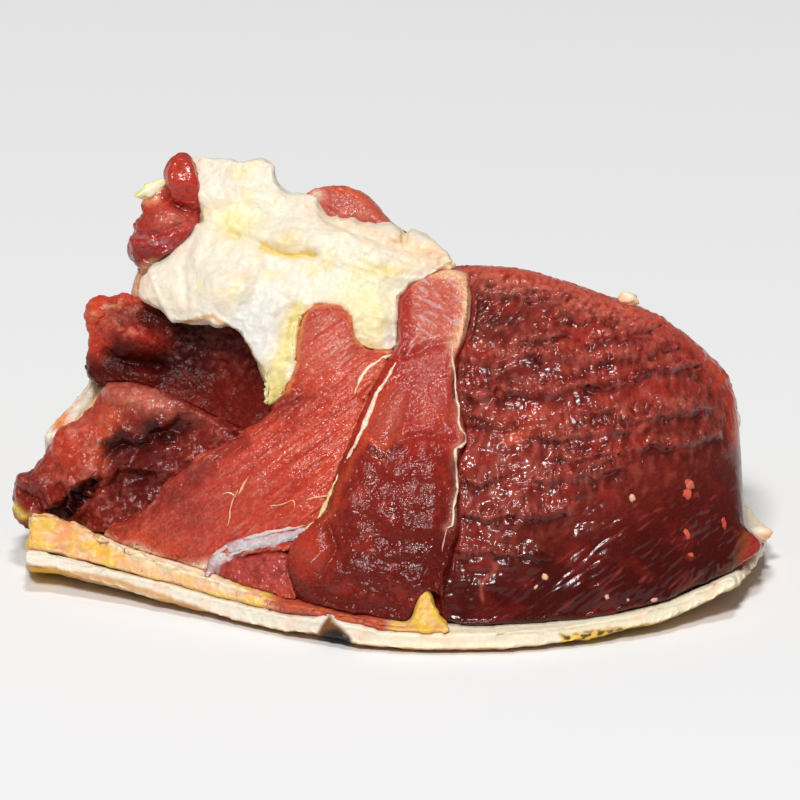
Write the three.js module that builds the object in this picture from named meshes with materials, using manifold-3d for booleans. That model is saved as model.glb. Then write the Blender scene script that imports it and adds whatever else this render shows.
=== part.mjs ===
// Raw skin-on beef leg meat: a boned chunk of the upper leg that lies on its hide.
//
// Millimetres, +Z up, +Y away from the cut side, origin at the middle of the underside. The hide is
// a bent sheet that runs from the front lip, under the meat and up its back. The muscles stand in it
// side by side and run from the cut face to the hide. A cap of white fat lies over their upper front,
// and a layer of yellow fat lies between the hide and the muscles on the left.
//
// Outlines are drawn on the plane of the cut face, which leans back. "x" runs to the right, "rise"
// up the face and "depth" into the meat.

import * as THREE from "three";
import { mergeVertices } from "three/addons/utils/BufferGeometryUtils.js";
import Module from "manifold-3d";

const wasm = await Module();
wasm.setup();

// ---------------------------------------------------------------------------------------------
// Driving dimensions, mm
// ---------------------------------------------------------------------------------------------

const FACE_LEAN = THREE.MathUtils.degToRad(20); // the cut face leans back by this from upright
const SEAM = 0.4; // air between two muscles that touch
const HIDE_THICKNESS = 6;
const HIDE_SEAM = 0.7; // air between the hide and what lies in it
const REST_TRIM = 1.4; // the underside is pressed flat by this much
const THROUGH = 120; // a depth beyond the back of the whole chunk

// Where the middle of the whole lies before the last shift that centres it.
const MIDDLE = new THREE.Vector2(-2.8, 2.1);

// Depth of the cut face at its foot and at CREST_RISE, by x.
const FOOT_RISE = -20;
const CREST_RISE = 105;
const FACE_BULGE = 1.6; // above 1, the face is steep at its foot and leans back at its crest
const FACE_FOOT = [[-130, -14], [-95, -25], [-60, -42], [-30, -57], [5, -66], [60, -63], [90, -53],
  [118, -38]];
const FACE_CREST = [[-130, 4], [-95, -2], [-60, -14], [-20, -20], [20, -22], [60, -24], [90, -14],
  [118, 0]];

// The hide, by x: where its front lip lies, how high the lip curls, where its back lies, and how
// high its back stands.
const HIDE_LIP_Y = [[-130, -14], [-95, -26], [-60, -44], [-25, -64], [5, -72], [40, -70], [80, -58],
  [120, -38]];
const HIDE_LIP_Z = [[-130, 9], [-95, 5], [-60, 2], [-36, 1], [-24, 3.6], [-12, 1], [40, 1], [80, 3],
  [104, 5.5], [120, 8]];
const HIDE_BACK_Y = [[-130, 34], [-95, 52], [-60, 64], [-25, 71], [5, 74], [40, 74], [80, 66], [120, 47]];
const HIDE_TOP_Z = [[-130, 29], [-120, 39], [-104, 56], [-85, 78], [-60, 99], [-25, 98], [5, 88], [20, 82],
  [40, 77], [60, 74], [77, 68], [90, 60], [120, 41]];
// How far the hide's two ends curl up off the ground, by x.
const HIDE_END_LIFT = [[-130, 1.2], [-105, 0], [88, 0], [104, 2], [118, 5.5], [127, 8]];
// The hide's two cut ends, by how far along its section they are, from 0 at the lip to 1 at the top.
const HIDE_LEFT_X = [[0, -127], [0.45, -127], [0.7, -124], [1, -121]];
const HIDE_RIGHT_X = [[0, 112], [0.2, 117], [0.42, 126], [0.56, 119], [0.75, 117.5], [1, 118]];
// Yellow fat on the hide's inner side, by x.
const YELLOW_FAT = [[-130, 11.5], [-112, 11], [-92, 6.5], [-60, 5], [-30, 2.6], [0, 2], [16, 1.4]];
const YELLOW_FAT_END_X = 16;

// ---------------------------------------------------------------------------------------------
// Helpers
// ---------------------------------------------------------------------------------------------

/** A smooth run through [at, value] stations, level beyond the first and the last. */
function course(stations) {
  const slope = (i) => {
    const [a, b] = [stations[i - 1], stations[i + 1]];
    return a && b ? (b[1] - a[1]) / (b[0] - a[0]) : 0;
  };
  return (at) => {
    const next = stations.findIndex(([station]) => station > at);
    if (next === 0) return stations[0][1];
    if (next < 0) return stations[stations.length - 1][1];
    const [[x0, y0], [x1, y1]] = [stations[next - 1], stations[next]];
    const width = x1 - x0;
    const t = (at - x0) / width;
    const [t2, t3] = [t * t, t * t * t];
    return (
      y0 * (2 * t3 - 3 * t2 + 1) +
      y1 * (3 * t2 - 2 * t3) +
      slope(next - 1) * width * (t3 - 2 * t2 + t) +
      slope(next) * width * (t3 - t2)
    );
  };
}

const UP_THE_FACE = new THREE.Vector3(0, Math.sin(FACE_LEAN), Math.cos(FACE_LEAN));
const INTO_THE_MEAT = new THREE.Vector3(0, Math.cos(FACE_LEAN), -Math.sin(FACE_LEAN));

/** A point of the part from its place on the cut face. */
function onFace(x, rise, depth) {
  return new THREE.Vector3(x, 0, 0)
    .addScaledVector(UP_THE_FACE, rise)
    .addScaledVector(INTO_THE_MEAT, depth);
}

const faceFoot = course(FACE_FOOT);
const faceCrest = course(FACE_CREST);

/** Depth of the cut face as a whole, before the muscles bulge from it. */
function faceDepth(x, rise) {
  const up = Math.max(0, (rise - FOOT_RISE) / (CREST_RISE - FOOT_RISE));
  return THREE.MathUtils.lerp(faceFoot(x), faceCrest(x), up ** FACE_BULGE);
}

/** Uneven swelling of cut flesh, from -1 to 1, with hills about `size` across. */
function swelling(x, y, z, size) {
  const k = Math.PI / size;
  const bend = Math.sin(k * 0.63 * y + 1.7) + Math.sin(k * 0.47 * z + 0.4);
  return (
    0.5 * Math.sin(k * x + bend) +
    0.3 * Math.sin(k * (0.8 * z - 0.5 * x) + 2.1 + 0.7 * bend) +
    0.2 * Math.sin(k * 1.9 * (y + 0.4 * x) + 0.9)
  );
}

/** A soft hill: 1 at its middle, falling off over `rx` and `ry`. */
function hill(x, rise, [cx, cy], rx, ry) {
  return Math.exp(-(((x - cx) / rx) ** 2) - ((rise - cy) / ry) ** 2);
}

/** The solid of a closed geometry. */
function solid(geometry) {
  const bare = geometry.clone();
  bare.deleteAttribute("normal");
  bare.deleteAttribute("uv");
  const merged = mergeVertices(bare, 1e-3);
  const triVerts = new Uint32Array(merged.index.array);
  const make = () =>
    new wasm.Manifold(
      new wasm.Mesh({ numProp: 3, vertProperties: merged.attributes.position.array, triVerts }),
    );
  const made = make();
  if (made.volume() > 0) return made;
  for (let i = 0; i < triVerts.length; i += 3) {
    [triVerts[i + 1], triVerts[i + 2]] = [triVerts[i + 2], triVerts[i + 1]];
  }
  return make();
}

/** The geometry of a solid. */
function geometryOf(body) {
  const mesh = body.getMesh();
  return new THREE.BufferGeometry()
    .setAttribute("position", new THREE.BufferAttribute(Float32Array.from(mesh.vertProperties), 3))
    .setIndex(new THREE.BufferAttribute(Uint32Array.from(mesh.triVerts), 1));
}

/** The same solid with each of its faces moved out by at least `by`, to cut a neighbour with. */
function grown(body, by = SEAM) {
  const geometry = geometryOf(body);
  geometry.computeVertexNormals();
  const { position, normal } = geometry.attributes;
  const corners = geometry.index.array;
  const steepest = new Float32Array(position.count).fill(1);
  const face = new THREE.Triangle();
  const faceNormal = new THREE.Vector3();
  const vertexNormal = new THREE.Vector3();
  for (let i = 0; i < corners.length; i += 3) {
    face.setFromAttributeAndIndices(position, corners[i], corners[i + 1], corners[i + 2]);
    face.getNormal(faceNormal);
    for (const corner of corners.subarray(i, i + 3)) {
      vertexNormal.fromBufferAttribute(normal, corner);
      steepest[corner] = Math.min(steepest[corner], faceNormal.dot(vertexNormal));
    }
  }
  const at = new THREE.Vector3();
  for (let i = 0; i < position.count; i++) {
    const reach = by / Math.max(steepest[i], 0.4);
    at.fromBufferAttribute(position, i)
      .addScaledVector(vertexNormal.fromBufferAttribute(normal, i), reach);
    position.setXYZ(i, at.x, at.y, at.z);
  }
  return solid(geometry);
}

/** The largest piece of a solid, without the loose scraps that a cut leaves. */
function largest(body) {
  return body.decompose().reduce((a, b) => (b.volume() > a.volume() ? b : a));
}

// ---------------------------------------------------------------------------------------------
// Muscles and fat: blocks that stand on an outline and run into the meat
// ---------------------------------------------------------------------------------------------

/**
 * A block of flesh. A sphere is laid on the outline: its near half becomes the domed front, its
 * equator the outline, and its far half the sides and the back.
 *
 * outline   [x, rise] points round the visible front
 * centre    [x, rise] from which the whole outline can be seen
 * front     depth of the front at a place
 * back      depth of the back at a place
 * edge      how far the front rounds off before it reaches the outline
 * taper     size of the back over the size of the outline
 * lumps     height of the unevenness
 */
function block({ outline, centre, front, back = () => THROUGH, edge = 9, taper = 1, lumps = 1.2,
  size = 26, around = 40, rings = 7, sides = 4 }) {
  const loop = new THREE.CatmullRomCurve3(
    outline.map(([x, rise]) => new THREE.Vector3(x, rise, 0)), true, "centripetal");
  const rim = Array.from({ length: around + 1 }, (_, i) => loop.getPointAt((i % around) / around));
  const geometry = new THREE.SphereGeometry(1, around, rings + sides + 1);
  const { position } = geometry.attributes;
  for (let ring = 0, i = 0; ring <= rings + sides + 1; ring++) {
    const turn = Math.min(ring / rings, 1) * Math.PI / 2;
    const reach = Math.sin(turn) ** 0.9;
    const rounding = edge * (1 - Math.sqrt(Math.max(0, 1 - reach ** 5)));
    const along = THREE.MathUtils.clamp((ring - rings) / sides, 0, 1);
    const atBack = ring > rings + sides;
    for (let step = 0; step <= around; step++, i++) {
      const share = atBack ? 0 : reach * THREE.MathUtils.lerp(1, taper, along);
      const x = THREE.MathUtils.lerp(centre[0], rim[step].x, share);
      const rise = THREE.MathUtils.lerp(centre[1], rim[step].y, share);
      const uneven = lumps * swelling(x, rise, 30 * along, size);
      const near = front(x, rise) + rounding + uneven;
      const point = onFace(x, rise, THREE.MathUtils.lerp(near, back(x, rise), along));
      position.setXYZ(i, point.x, point.y, point.z);
    }
  }
  return solid(geometry);
}

/** A rounded lobe of flesh with its middle at a place on the cut face. */
function lobe({ at: [x, rise, depth], radii: [across, up, deep], turn = 0, lumps = 0.8, detail = 4 }) {
  const geometry = new THREE.IcosahedronGeometry(1, detail);
  geometry.deleteAttribute("normal");
  geometry.deleteAttribute("uv");
  const ball = mergeVertices(geometry, 1e-4);
  const { position } = ball.attributes;
  const [c, s] = [Math.cos(turn), Math.sin(turn)];
  for (let i = 0; i < position.count; i++) {
    const [px, py, pz] = [position.getX(i), position.getY(i), position.getZ(i)];
    const swell = 1 + (lumps / Math.min(across, up)) * swelling(px * across, py * up, pz * deep, 9);
    const [ax, ay] = [px * across * swell, py * up * swell];
    const point = onFace(x + ax * c - ay * s, rise + ax * s + ay * c, depth + pz * deep * swell);
    position.setXYZ(i, point.x, point.y, point.z);
  }
  return solid(ball);
}

// ---------------------------------------------------------------------------------------------
// The hide and what is laid on it
// ---------------------------------------------------------------------------------------------

const lipY = course(HIDE_LIP_Y);
const lipZ = course(HIDE_LIP_Z);
const backY = course(HIDE_BACK_Y);
const topZ = course(HIDE_TOP_Z);
const leftX = course(HIDE_LEFT_X);
const rightX = course(HIDE_RIGHT_X);
const endLift = course(HIDE_END_LIFT);

/** The hide's middle surface, from its lip (0) to its top (1), at one x. */
function hideSection(x, along) {
  const [lip, back, top] = [lipY(x), backY(x), topZ(x)];
  const span = back - lip;
  const floor = HIDE_THICKNESS / 2 - REST_TRIM + endLift(x);
  const section = new THREE.CatmullRomCurve3([
    new THREE.Vector3(x, lip, floor + 1.6 + lipZ(x)),
    new THREE.Vector3(x, lip + 0.16 * span, floor + 0.5 + 0.35 * lipZ(x)),
    new THREE.Vector3(x, lip + 0.48 * span, floor),
    new THREE.Vector3(x, lip + 0.76 * span, floor + 0.05 * top),
    new THREE.Vector3(x, lip + 0.94 * span, floor + 0.25 * top),
    new THREE.Vector3(x, back, floor + 0.58 * top),
    new THREE.Vector3(x, back - 0.05 * span, top),
  ], false, "centripetal");
  return section.getPoint(along);
}

/** A point on the hide, `out` from its middle surface towards the meat. */
function onHide(side, along, out) {
  const middle = (s, t) => {
    const at = THREE.MathUtils.clamp(t, 0, 1);
    return hideSection(THREE.MathUtils.lerp(leftX(at), rightX(at), s), at);
  };
  const step = 0.01;
  const sideways = middle(side + step, along).sub(middle(side - step, along));
  const upwards = middle(side, Math.min(along + step, 1)).sub(middle(side, Math.max(along - step, 0)));
  return middle(side, along).addScaledVector(sideways.cross(upwards).normalize(), out);
}

/** A box bent into place: `place` moves each of its points, given three shares from 0 to 1. */
function bentBox(across, along, through, place) {
  const geometry = new THREE.BoxGeometry(1, 1, 1, across, along, through);
  const { position } = geometry.attributes;
  for (let i = 0; i < position.count; i++) {
    const point = place(position.getX(i) + 0.5, position.getY(i) + 0.5, position.getZ(i) + 0.5);
    position.setXYZ(i, point.x, point.y, point.z);
  }
  return solid(geometry);
}

const HIDE_STEPS = { across: 22, along: 14 };

/** The hide: an even sheet, thinner towards its two ends. */
function makeHide() {
  const thickness = (side) => HIDE_THICKNESS * (1 - 0.22 * Math.abs(2 * side - 1) ** 3);
  const sheet = bentBox(HIDE_STEPS.across, HIDE_STEPS.along, 1, (side, along, through) =>
    onHide(side, along, (through - 0.5) * thickness(side)));
  const ground = new THREE.BoxGeometry(400, 400, 40).translate(0, 0, -20);
  return sheet.subtract(solid(ground));
}

/**
 * All the room on the meat's side of the hide, from `out` off its middle surface. Above the hide's
 * top edge the room's rear leans back by `lean` for each millimetre that it rises.
 */
function roomInside(out, lean) {
  const beyond = 4; // columns past each end of the hide
  const reach = 60;
  const { across, along } = HIDE_STEPS;
  return bentBox(across + 2 * beyond, along + 2, 1, (side, up, through) => {
    const column = (side * (across + 2 * beyond) - beyond) / across;
    const row = Math.round(up * (along + 2) - 1);
    const point = onHide(column, row / along, out);
    if (row < 0) point.y -= reach;
    if (row > along) point.add(new THREE.Vector3(0, lean * reach, reach));
    return point.add(new THREE.Vector3(0, -1, 1).multiplyScalar(through * 170));
  });
}

/** The layer of yellow fat that lies on the left of the hide, larger by `margin` to cut with. */
function makeYellowFat(margin = 0) {
  const thickness = course(YELLOW_FAT);
  const length = rightX(0) - leftX(0);
  const end = (YELLOW_FAT_END_X - leftX(0)) / length;
  const rimward = (share) => (share === 0 ? -2 : share === 1 ? 2 : 0) * margin / length;
  const inner = HIDE_THICKNESS / 2 + HIDE_SEAM;
  const layer = bentBox(13, HIDE_STEPS.along, 1, (side, along, through) => {
    const s = THREE.MathUtils.lerp(0.002, end, side) + rimward(side);
    const t = THREE.MathUtils.lerp(0.012, 0.985, along) + rimward(along);
    const thinning = THREE.MathUtils.lerp(1, 0.4, THREE.MathUtils.smoothstep(t, 0.3, 0.5));
    const deep = thickness(onHide(s, t, 0).x) * thinning;
    const bumps = 0.12 * deep * swelling(140 * s, 120 * t, 0, 11);
    return onHide(s, t, inner - margin + through * (deep + bumps + 2.5 * margin));
  });
  const wedge = lobe({
    at: [9, -13, faceDepth(9, -13) + 1.5],
    radii: [5.5 + margin, 10.5 + margin, 5.5 + margin],
    turn: -0.1,
    lumps: 0.3,
    detail: 2,
  });
  return layer.add(wedge.intersect(room));
}

// ---------------------------------------------------------------------------------------------
// The muscles and the fat cap
// ---------------------------------------------------------------------------------------------

/** The large dark muscle on the right. Its rear narrows, so that its top and side round off. */
function makeRoundMuscle() {
  return block({
    outline: [
      [17, 104.5], [34, 104.6], [54, 100.6], [75, 93.6], [98, 81], [111, 67.5], [115, 52], [115.6, 32],
      [117, 16], [124, 13], [119, 1], [114, -8], [103, -15.5], [82, -18.5], [54, -22], [30, -23],
      [8, -22], [-2, 0], [-6, 40], [-4, 75], [3, 98]],
    centre: [60, 42],
    front: (x, rise) => faceDepth(x, rise) - 3 * hill(x, rise, [70, 45], 40, 40),
    edge: 15,
    taper: 0.86,
    lumps: 1.5,
    around: 42,
    rings: 8,
    sides: 3,
  });
}

/** The slab in the middle, which stands proud and overhangs the dark muscle on its right. */
function makeCentreMuscle() {
  return block({
    outline: [
      [4, 99], [13.5, 103], [22, 103.8], [24, 96], [22.5, 84], [19, 72], [18, 62], [22.4, 46],
      [18.5, 37], [19.5, 18], [15, -2], [13, -19.5], [0, -16.5], [-18, -13.5], [-30, -12],
      [-37, 0], [-36.5, 11], [-27, 20], [-20, 37], [-12, 56], [-5, 71], [0, 80], [-1, 91]],
    centre: [2, 38],
    front: (x, rise) => faceDepth(x, rise) - 4.5 - 2.5 * hill(x, rise, [6, 30], 20, 22)
      + 2 * hill(x, rise, [10, 92], 14, 12),
    back: (x, rise) => faceDepth(x, rise) + 24,
    edge: 7,
    taper: 0.82,
    lumps: 1.3,
    around: 46,
    rings: 6,
    sides: 3,
  });
}

/** The pale muscle that fans out towards the lower left, with a tongue that runs up into the fat. */
function makeFanMuscle() {
  return block({
    outline: [
      [-33, 86], [-29, 92], [-22, 92.5], [-16.5, 89], [-15.5, 79], [-11, 76], [0, 75], [3, 50],
      [-6, 28], [-18, 12],
      [-33, 8], [-52, 5], [-66, 0.5], [-78, -1.5], [-97, 6], [-104, 12], [-94, 17], [-84, 25], [-73, 35.5],
      [-60, 44], [-48, 51], [-41, 60], [-35, 72]],
    centre: [-30, 34],
    front: (x, rise) => faceDepth(x, rise) + 1 - 3 * hill(x, rise, [-45, 30], 26, 16)
      - 4.5 * hill(x, rise, [-22, 84], 16, 16) + 4 * hill(x, rise, [-88, 12], 20, 14),
    back: (x, rise) => faceDepth(x, rise) + 27,
    edge: 5.5,
    taper: 0.85,
    around: 42,
    rings: 7,
    sides: 3,
  });
}

/** The small muscle low in the middle, next to the hide. */
function makeSmallMuscle() {
  return block({
    outline: [
      [-64, 1.5], [-60, 6.5], [-48, 8], [-36, 9], [-28, 0], [-27, -13.5], [-39, -12.5], [-51, -8.5],
      [-60, -4]],
    centre: [-45, -1],
    front: (x, rise) => faceDepth(x, rise) + 1.5,
    back: (x, rise) => faceDepth(x, rise) + 22,
    edge: 6,
    taper: 0.8,
    lumps: 0.5,
    around: 26,
    rings: 4,
    sides: 2,
  });
}

/** The two bundles at the lower left, with a cleft between them. */
function makeSideMuscle() {
  const upper = block({
    outline: [
      [-131.5, 29], [-128, 33.5], [-122.5, 38], [-119, 47], [-112, 57], [-102, 64.5], [-90, 64.5],
      [-75, 59], [-60, 52], [-48, 45], [-52, 34], [-75, 33], [-95, 35], [-104, 31], [-108, 24],
      [-112, 15], [-124, 13], [-131, 20]],
    centre: [-100, 44],
    front: (x, rise) => faceDepth(x, rise) + 6 - 4 * hill(x, rise, [-112, 42], 16, 16)
      + 7 * hill(x, rise, [-68, 40], 16, 14),
    edge: 8,
    taper: 0.92,
    lumps: 1.6,
    size: 17,
    around: 40,
    rings: 6,
  });
  const lower = block({
    outline: [
      [-110, 20], [-108, 30], [-103, 37], [-90, 42], [-70, 42], [-50, 34], [-55, 15], [-75, 4],
      [-95, 6], [-107, 10]],
    centre: [-85, 24],
    front: (x, rise) => faceDepth(x, rise) + 9 + 5 * hill(x, rise, [-84, 32], 12, 12),
    edge: 7,
    taper: 0.95,
    lumps: 1.4,
    size: 14,
    around: 26,
    rings: 5,
    sides: 3,
  });
  return upper.add(lower);
}

/** The dark muscle behind, with a hollow in its front where the bone was. */
function makeHollowMuscle() {
  return block({
    outline: [
      [-111, 80], [-108, 91], [-100, 96], [-88, 100.5], [-80, 112], [-62, 121], [-30, 120],
      [0, 112], [8, 90], [8, 40], [5, -32], [-40, -32], [-68, -14], [-74, 22], [-84, 44],
      [-103, 62], [-109, 72]],
    centre: [-45, 55],
    front: (x, rise) => faceDepth(x, rise) + 9 + 17 * hill(x, rise, [-58, 64], 27, 22)
      - 3 * hill(x, rise, [-99, 84], 12, 12),
    edge: 9,
    taper: 0.94,
    lumps: 1.4,
    size: 20,
    around: 36,
    rings: 6,
    sides: 3,
  });
}

/** The muscle that shows as a red hump behind the fat cap. */
function makeBackMuscle() {
  return block({
    outline: [
      [-54, 97], [-49, 112], [-40, 121], [-33.5, 130], [-27, 131.8], [-19, 131.3], [-12, 127], [-4, 120],
      [8, 112], [14, 100], [-5, 88], [-30, 85], [-46, 87]],
    centre: [-24, 108],
    front: (x, rise) => faceDepth(x, rise) + 15,
    edge: 6,
    taper: 0.9,
    lumps: 1,
    around: 32,
    rings: 5,
    sides: 3,
  });
}

/** The two red lobes that hang out of the top left of the fat, with a shred between them. */
function makeLobes() {
  const upper = lobe({ at: [-74, 133, 3], radii: [6.4, 9.6, 9], turn: 0.22, detail: 3 });
  const lower = lobe({ at: [-80.5, 114.5, 6], radii: [13.5, 11, 14], turn: 0.75, detail: 3 });
  const shred = lobe({ at: [-81, 127.6, 8], radii: [10, 4, 5], turn: 0.35, lumps: 0.6, detail: 2 });
  const strand = lobe({ at: [-87, 101, 9], radii: [3.2, 9, 6], turn: -0.35, lumps: 0.4, detail: 2 });
  return upper.add(lower).add(shred).add(strand);
}

/** The white fat cap over the upper front. Its lower edge overhangs the hollow. */
function makeFatCap() {
  return block({
    outline: [
      [-73, 143.4], [-60, 142.4], [-47, 142.6], [-41.5, 136], [-39.5, 129.5], [-32, 130.5], [-26, 124.5],
      [-18, 121], [-4, 119.2], [0, 116], [4, 117], [13.5, 112], [20, 105.5], [14, 101], [2, 96],
      [0, 80], [-5, 70], [-20, 64], [-34, 60], [-44.5, 55.5], [-47, 68], [-54, 81], [-66, 86],
      [-75, 84.8], [-85, 90.5], [-89.5, 97], [-86.5, 104], [-72.5, 114], [-68, 125]],
    centre: [-42, 100],
    front: (x, rise) => faceDepth(x, rise) - 1 - 3.5 * hill(x, rise, [-66, 96], 18, 14)
      - 2.5 * hill(x, rise, [-20, 112], 22, 10) + 3 * hill(x, rise, [-50, 118], 12, 9)
      + 3.5 * hill(x, rise, [-20, 78], 18, 14),
    back: (x, rise) => faceDepth(x, rise) + 17,
    edge: 5.5,
    taper: 0.9,
    lumps: 1.2,
    size: 22,
    around: 50,
    rings: 7,
    sides: 2,
  });
}

// ---------------------------------------------------------------------------------------------
// The chunk
// ---------------------------------------------------------------------------------------------

const hide = makeHide();
const room = roomInside(HIDE_THICKNESS / 2 + HIDE_SEAM, -0.28);
const roomOnTop = roomInside(HIDE_THICKNESS / 2 + HIDE_SEAM, 0.5);
const yellowFat = makeYellowFat();

// Each block is cut by those above it in this list, so the first keeps its whole form.
const blocks = [
  ["centre_muscle", makeCentreMuscle(), room],
  ["small_muscle", makeSmallMuscle(), room],
  ["fan_muscle", makeFanMuscle(), room],
  ["fat_cap", makeFatCap(), roomOnTop],
  ["lobes", makeLobes(), roomOnTop],
  ["back_muscle", makeBackMuscle(), room],
  ["side_muscle", makeSideMuscle(), room],
  ["round_muscle", makeRoundMuscle(), room],
  ["hollow_muscle", makeHollowMuscle(), room],
];
const solids = new Map([["hide", hide], ["yellow_fat", yellowFat]]);
const cutters = [makeYellowFat(SEAM).add(yellowFat)];
for (const [name, raw, space] of blocks) {
  const fitted = cutters.reduce((body, cutter) => body.subtract(cutter), raw.intersect(space));
  solids.set(name, largest(fitted));
  cutters.push(grown(raw).add(raw));
}

/** A wet, uncooked surface of one colour. */
function flesh(colour, roughness) {
  return new THREE.MeshStandardMaterial({ color: colour, roughness, metalness: 0 });
}

const materials = {
  hide: flesh(0xe3c9a0, 0.5),
  yellow_fat: flesh(0xe9c65a, 0.4),
  centre_muscle: flesh(0xa32a28, 0.3),
  small_muscle: flesh(0x9c3038, 0.3),
  fan_muscle: flesh(0xb4423a, 0.3),
  fat_cap: flesh(0xf6efd6, 0.4),
  lobes: flesh(0xa3282a, 0.3),
  back_muscle: flesh(0xb0464a, 0.35),
  side_muscle: flesh(0x8f2626, 0.3),
  round_muscle: flesh(0x7c1d22, 0.3),
  hollow_muscle: flesh(0x521216, 0.3),
};

const chunk = new THREE.Group();
for (const [name, body] of solids) {
  const mesh = new THREE.Mesh(geometryOf(body), materials[name]);
  mesh.name = name;
  mesh.position.set(-MIDDLE.x, -MIDDLE.y, 0);
  chunk.add(mesh);
}

export default chunk;
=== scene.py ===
"""Raw skin-on beef leg meat: the looks of the chunk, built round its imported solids.

Each muscle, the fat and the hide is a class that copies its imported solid, refines it where it shows,
sculpts its relief and paints its tint. Thin membranes, strands, specks and scraps are extra pieces.
Lengths are millimetres until a mesh is written in metres.
"""
import itertools
import logging
import math
from dataclasses import dataclass, field
from enum import Enum
from typing import ClassVar, Sequence

import bmesh
import bpy
import numpy as np
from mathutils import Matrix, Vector
from mathutils.bvhtree import BVHTree


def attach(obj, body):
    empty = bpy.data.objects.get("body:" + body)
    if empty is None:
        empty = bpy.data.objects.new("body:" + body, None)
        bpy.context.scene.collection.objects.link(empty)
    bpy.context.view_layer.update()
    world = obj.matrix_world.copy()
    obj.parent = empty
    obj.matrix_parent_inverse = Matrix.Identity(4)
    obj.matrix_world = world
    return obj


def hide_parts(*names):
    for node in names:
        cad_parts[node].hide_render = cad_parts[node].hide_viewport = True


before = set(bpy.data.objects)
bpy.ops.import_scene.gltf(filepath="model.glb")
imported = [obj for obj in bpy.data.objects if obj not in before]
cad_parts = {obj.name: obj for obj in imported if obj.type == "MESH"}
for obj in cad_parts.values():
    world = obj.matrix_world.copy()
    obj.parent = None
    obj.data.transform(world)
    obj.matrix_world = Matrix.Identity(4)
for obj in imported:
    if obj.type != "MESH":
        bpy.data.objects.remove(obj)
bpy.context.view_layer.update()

log = logging.getLogger("beef_leg")

MM = 0.001  # metres in a millimetre
GRID = 0.34  # mm in one square of the front view's grid
SIGHT = 2300.0  # mm from the camera to the middle of the chunk
LEAN = math.radians(20)  # the cut face leans back, and the camera looks down, by this
SIN, COS = math.sin(LEAN), math.cos(LEAN)
MIDDLE = np.array([2.8, -2.1, 0.0])  # the cut face's own origin in the frame
CENTRE_RISE = 59.3  # mm up the cut face at the middle of the front view
FRONT = np.array([0.0, -COS, SIN])  # from the chunk to the camera
VIEW_MIDDLE = 400  # grid squares from the left and the top to the middle of the view
STRAY_SLICES = (3.3, 9.1)  # where the noise is cut for u and for v
NOISE_GAIN = 1.7  # brings gradient noise to about -1 to 1
CELL_MARGIN = 0.15  # share of a cell along each side that its middle keeps off

Mask = np.ndarray
Spot = tuple[float, float]
Line = tuple[Spot, ...]
Shift = tuple[Mask | float, Mask | float]
Tree = bpy.types.NodeTree
Socket = bpy.types.NodeSocket


# ---- Places, patches and grain ----

class Place:
    """Where points lie: on the cut face (x, rise, depth) and on the front view's grid (u, v)."""

    # The tints read hollow to paint shade into hollows and light onto crests.
    hollow: Mask | float = 0.0  # -1 on crests, 1 in hollows

    def __init__(self, points: np.ndarray, normals: np.ndarray, grain: "Grain") -> None:
        """Works out every coordinate.

        Args:
            points: Points in the frame, in mm, one a row.
            normals: The surface's normals there.
            grain: The noise to use.
        """
        self.normals = normals
        self.grain = grain
        own = points - MIDDLE
        self.x = own[:, 0]
        self.back = own[:, 1]
        self.height = own[:, 2]
        self.rise = own[:, 1] * SIN + own[:, 2] * COS
        self.depth = own[:, 1] * COS - own[:, 2] * SIN
        nearness = SIGHT / (SIGHT + self.depth)
        self.u = VIEW_MIDDLE + self.x * nearness / GRID
        self.v = VIEW_MIDDLE - (self.rise - CENTRE_RISE) * nearness / GRID

    def per(self, across: float, up: float | None = None,
            deep: float | None = None) -> tuple[Mask, Mask, Mask]:
        """The places on the cut face, counted in steps.

        Args:
            across: A step to the right, in mm.
            up: A step up the cut face, or None for the same.
            deep: A step into the meat, or None for the first.

        Returns:
            How many steps to the right, up and in.
        """
        return self.x / across, self.rise / (up or across), self.depth / (deep or across)

    def noise(self, *steps: float) -> Mask:
        """Noise at the places, counted in steps as per does."""
        return self.grain.noise(*self.per(*steps))

    def rough(self, *steps: float) -> Mask:
        """Layered noise at the places, counted in steps as per does."""
        return self.grain.rough(*self.per(*steps))

    def cells(self, *steps: float) -> "Cells":
        """Blocks at the places, counted in steps as per does."""
        return self.grain.cells(*self.per(*steps))

    def streaks(self, degrees: float, length: float, width: float, deep: float = 3) -> Mask:
        """Long streaks in one direction.

        Args:
            degrees: Their direction on the cut face.
            length: Their length, in mm.
            width: Their width, in mm.
            deep: Their size into the meat, in mm.

        Returns:
            Noise, about -1 to 1.
        """
        along, across = turned(self, degrees)
        return self.grain.noise(along / length, across / width, self.depth / deep)

    def bundles(self, degrees: float, length: float, width: float, deep: float = 3) -> "Cells":
        """Fibre bundles in one direction, as blocks; the arguments are those of streaks."""
        along, across = turned(self, degrees)
        return self.grain.cells(along / length, across / width, self.depth / deep)

    def strayed(self, size: float, by: float) -> "Place":
        """The same places with a wandering (u, v), so that patches get ragged borders.

        Args:
            size: Size of the wandering, in grid squares.
            by: How far it strays, in grid squares.

        Returns:
            A copy with moved u and v.
        """
        other = object.__new__(Place)
        other.__dict__.update(self.__dict__)
        slice_u, slice_v = STRAY_SLICES
        other.u = self.u + by * self.grain.noise(self.u / size, self.v / size, slice_u)
        other.v = self.v + by * self.grain.noise(self.u / size, self.v / size, slice_v)
        return other


def camera_ray(u: float, v: float) -> tuple[Vector, Vector]:
    """The line of sight through one square of the front view, in mm.

    Args:
        u: Squares from the left.
        v: Squares from the top.

    Returns:
        Its start at the camera and its direction.
    """
    across, up = (u - VIEW_MIDDLE) * GRID, CENTRE_RISE - (v - VIEW_MIDDLE) * GRID
    eye = Vector(MIDDLE) + CENTRE_RISE * Vector((0, SIN, COS)) - SIGHT * Vector((0, COS, -SIN))
    target = Vector(MIDDLE) + Vector((across, up * SIN, up * COS))
    return eye, (target - eye).normalized()


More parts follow.
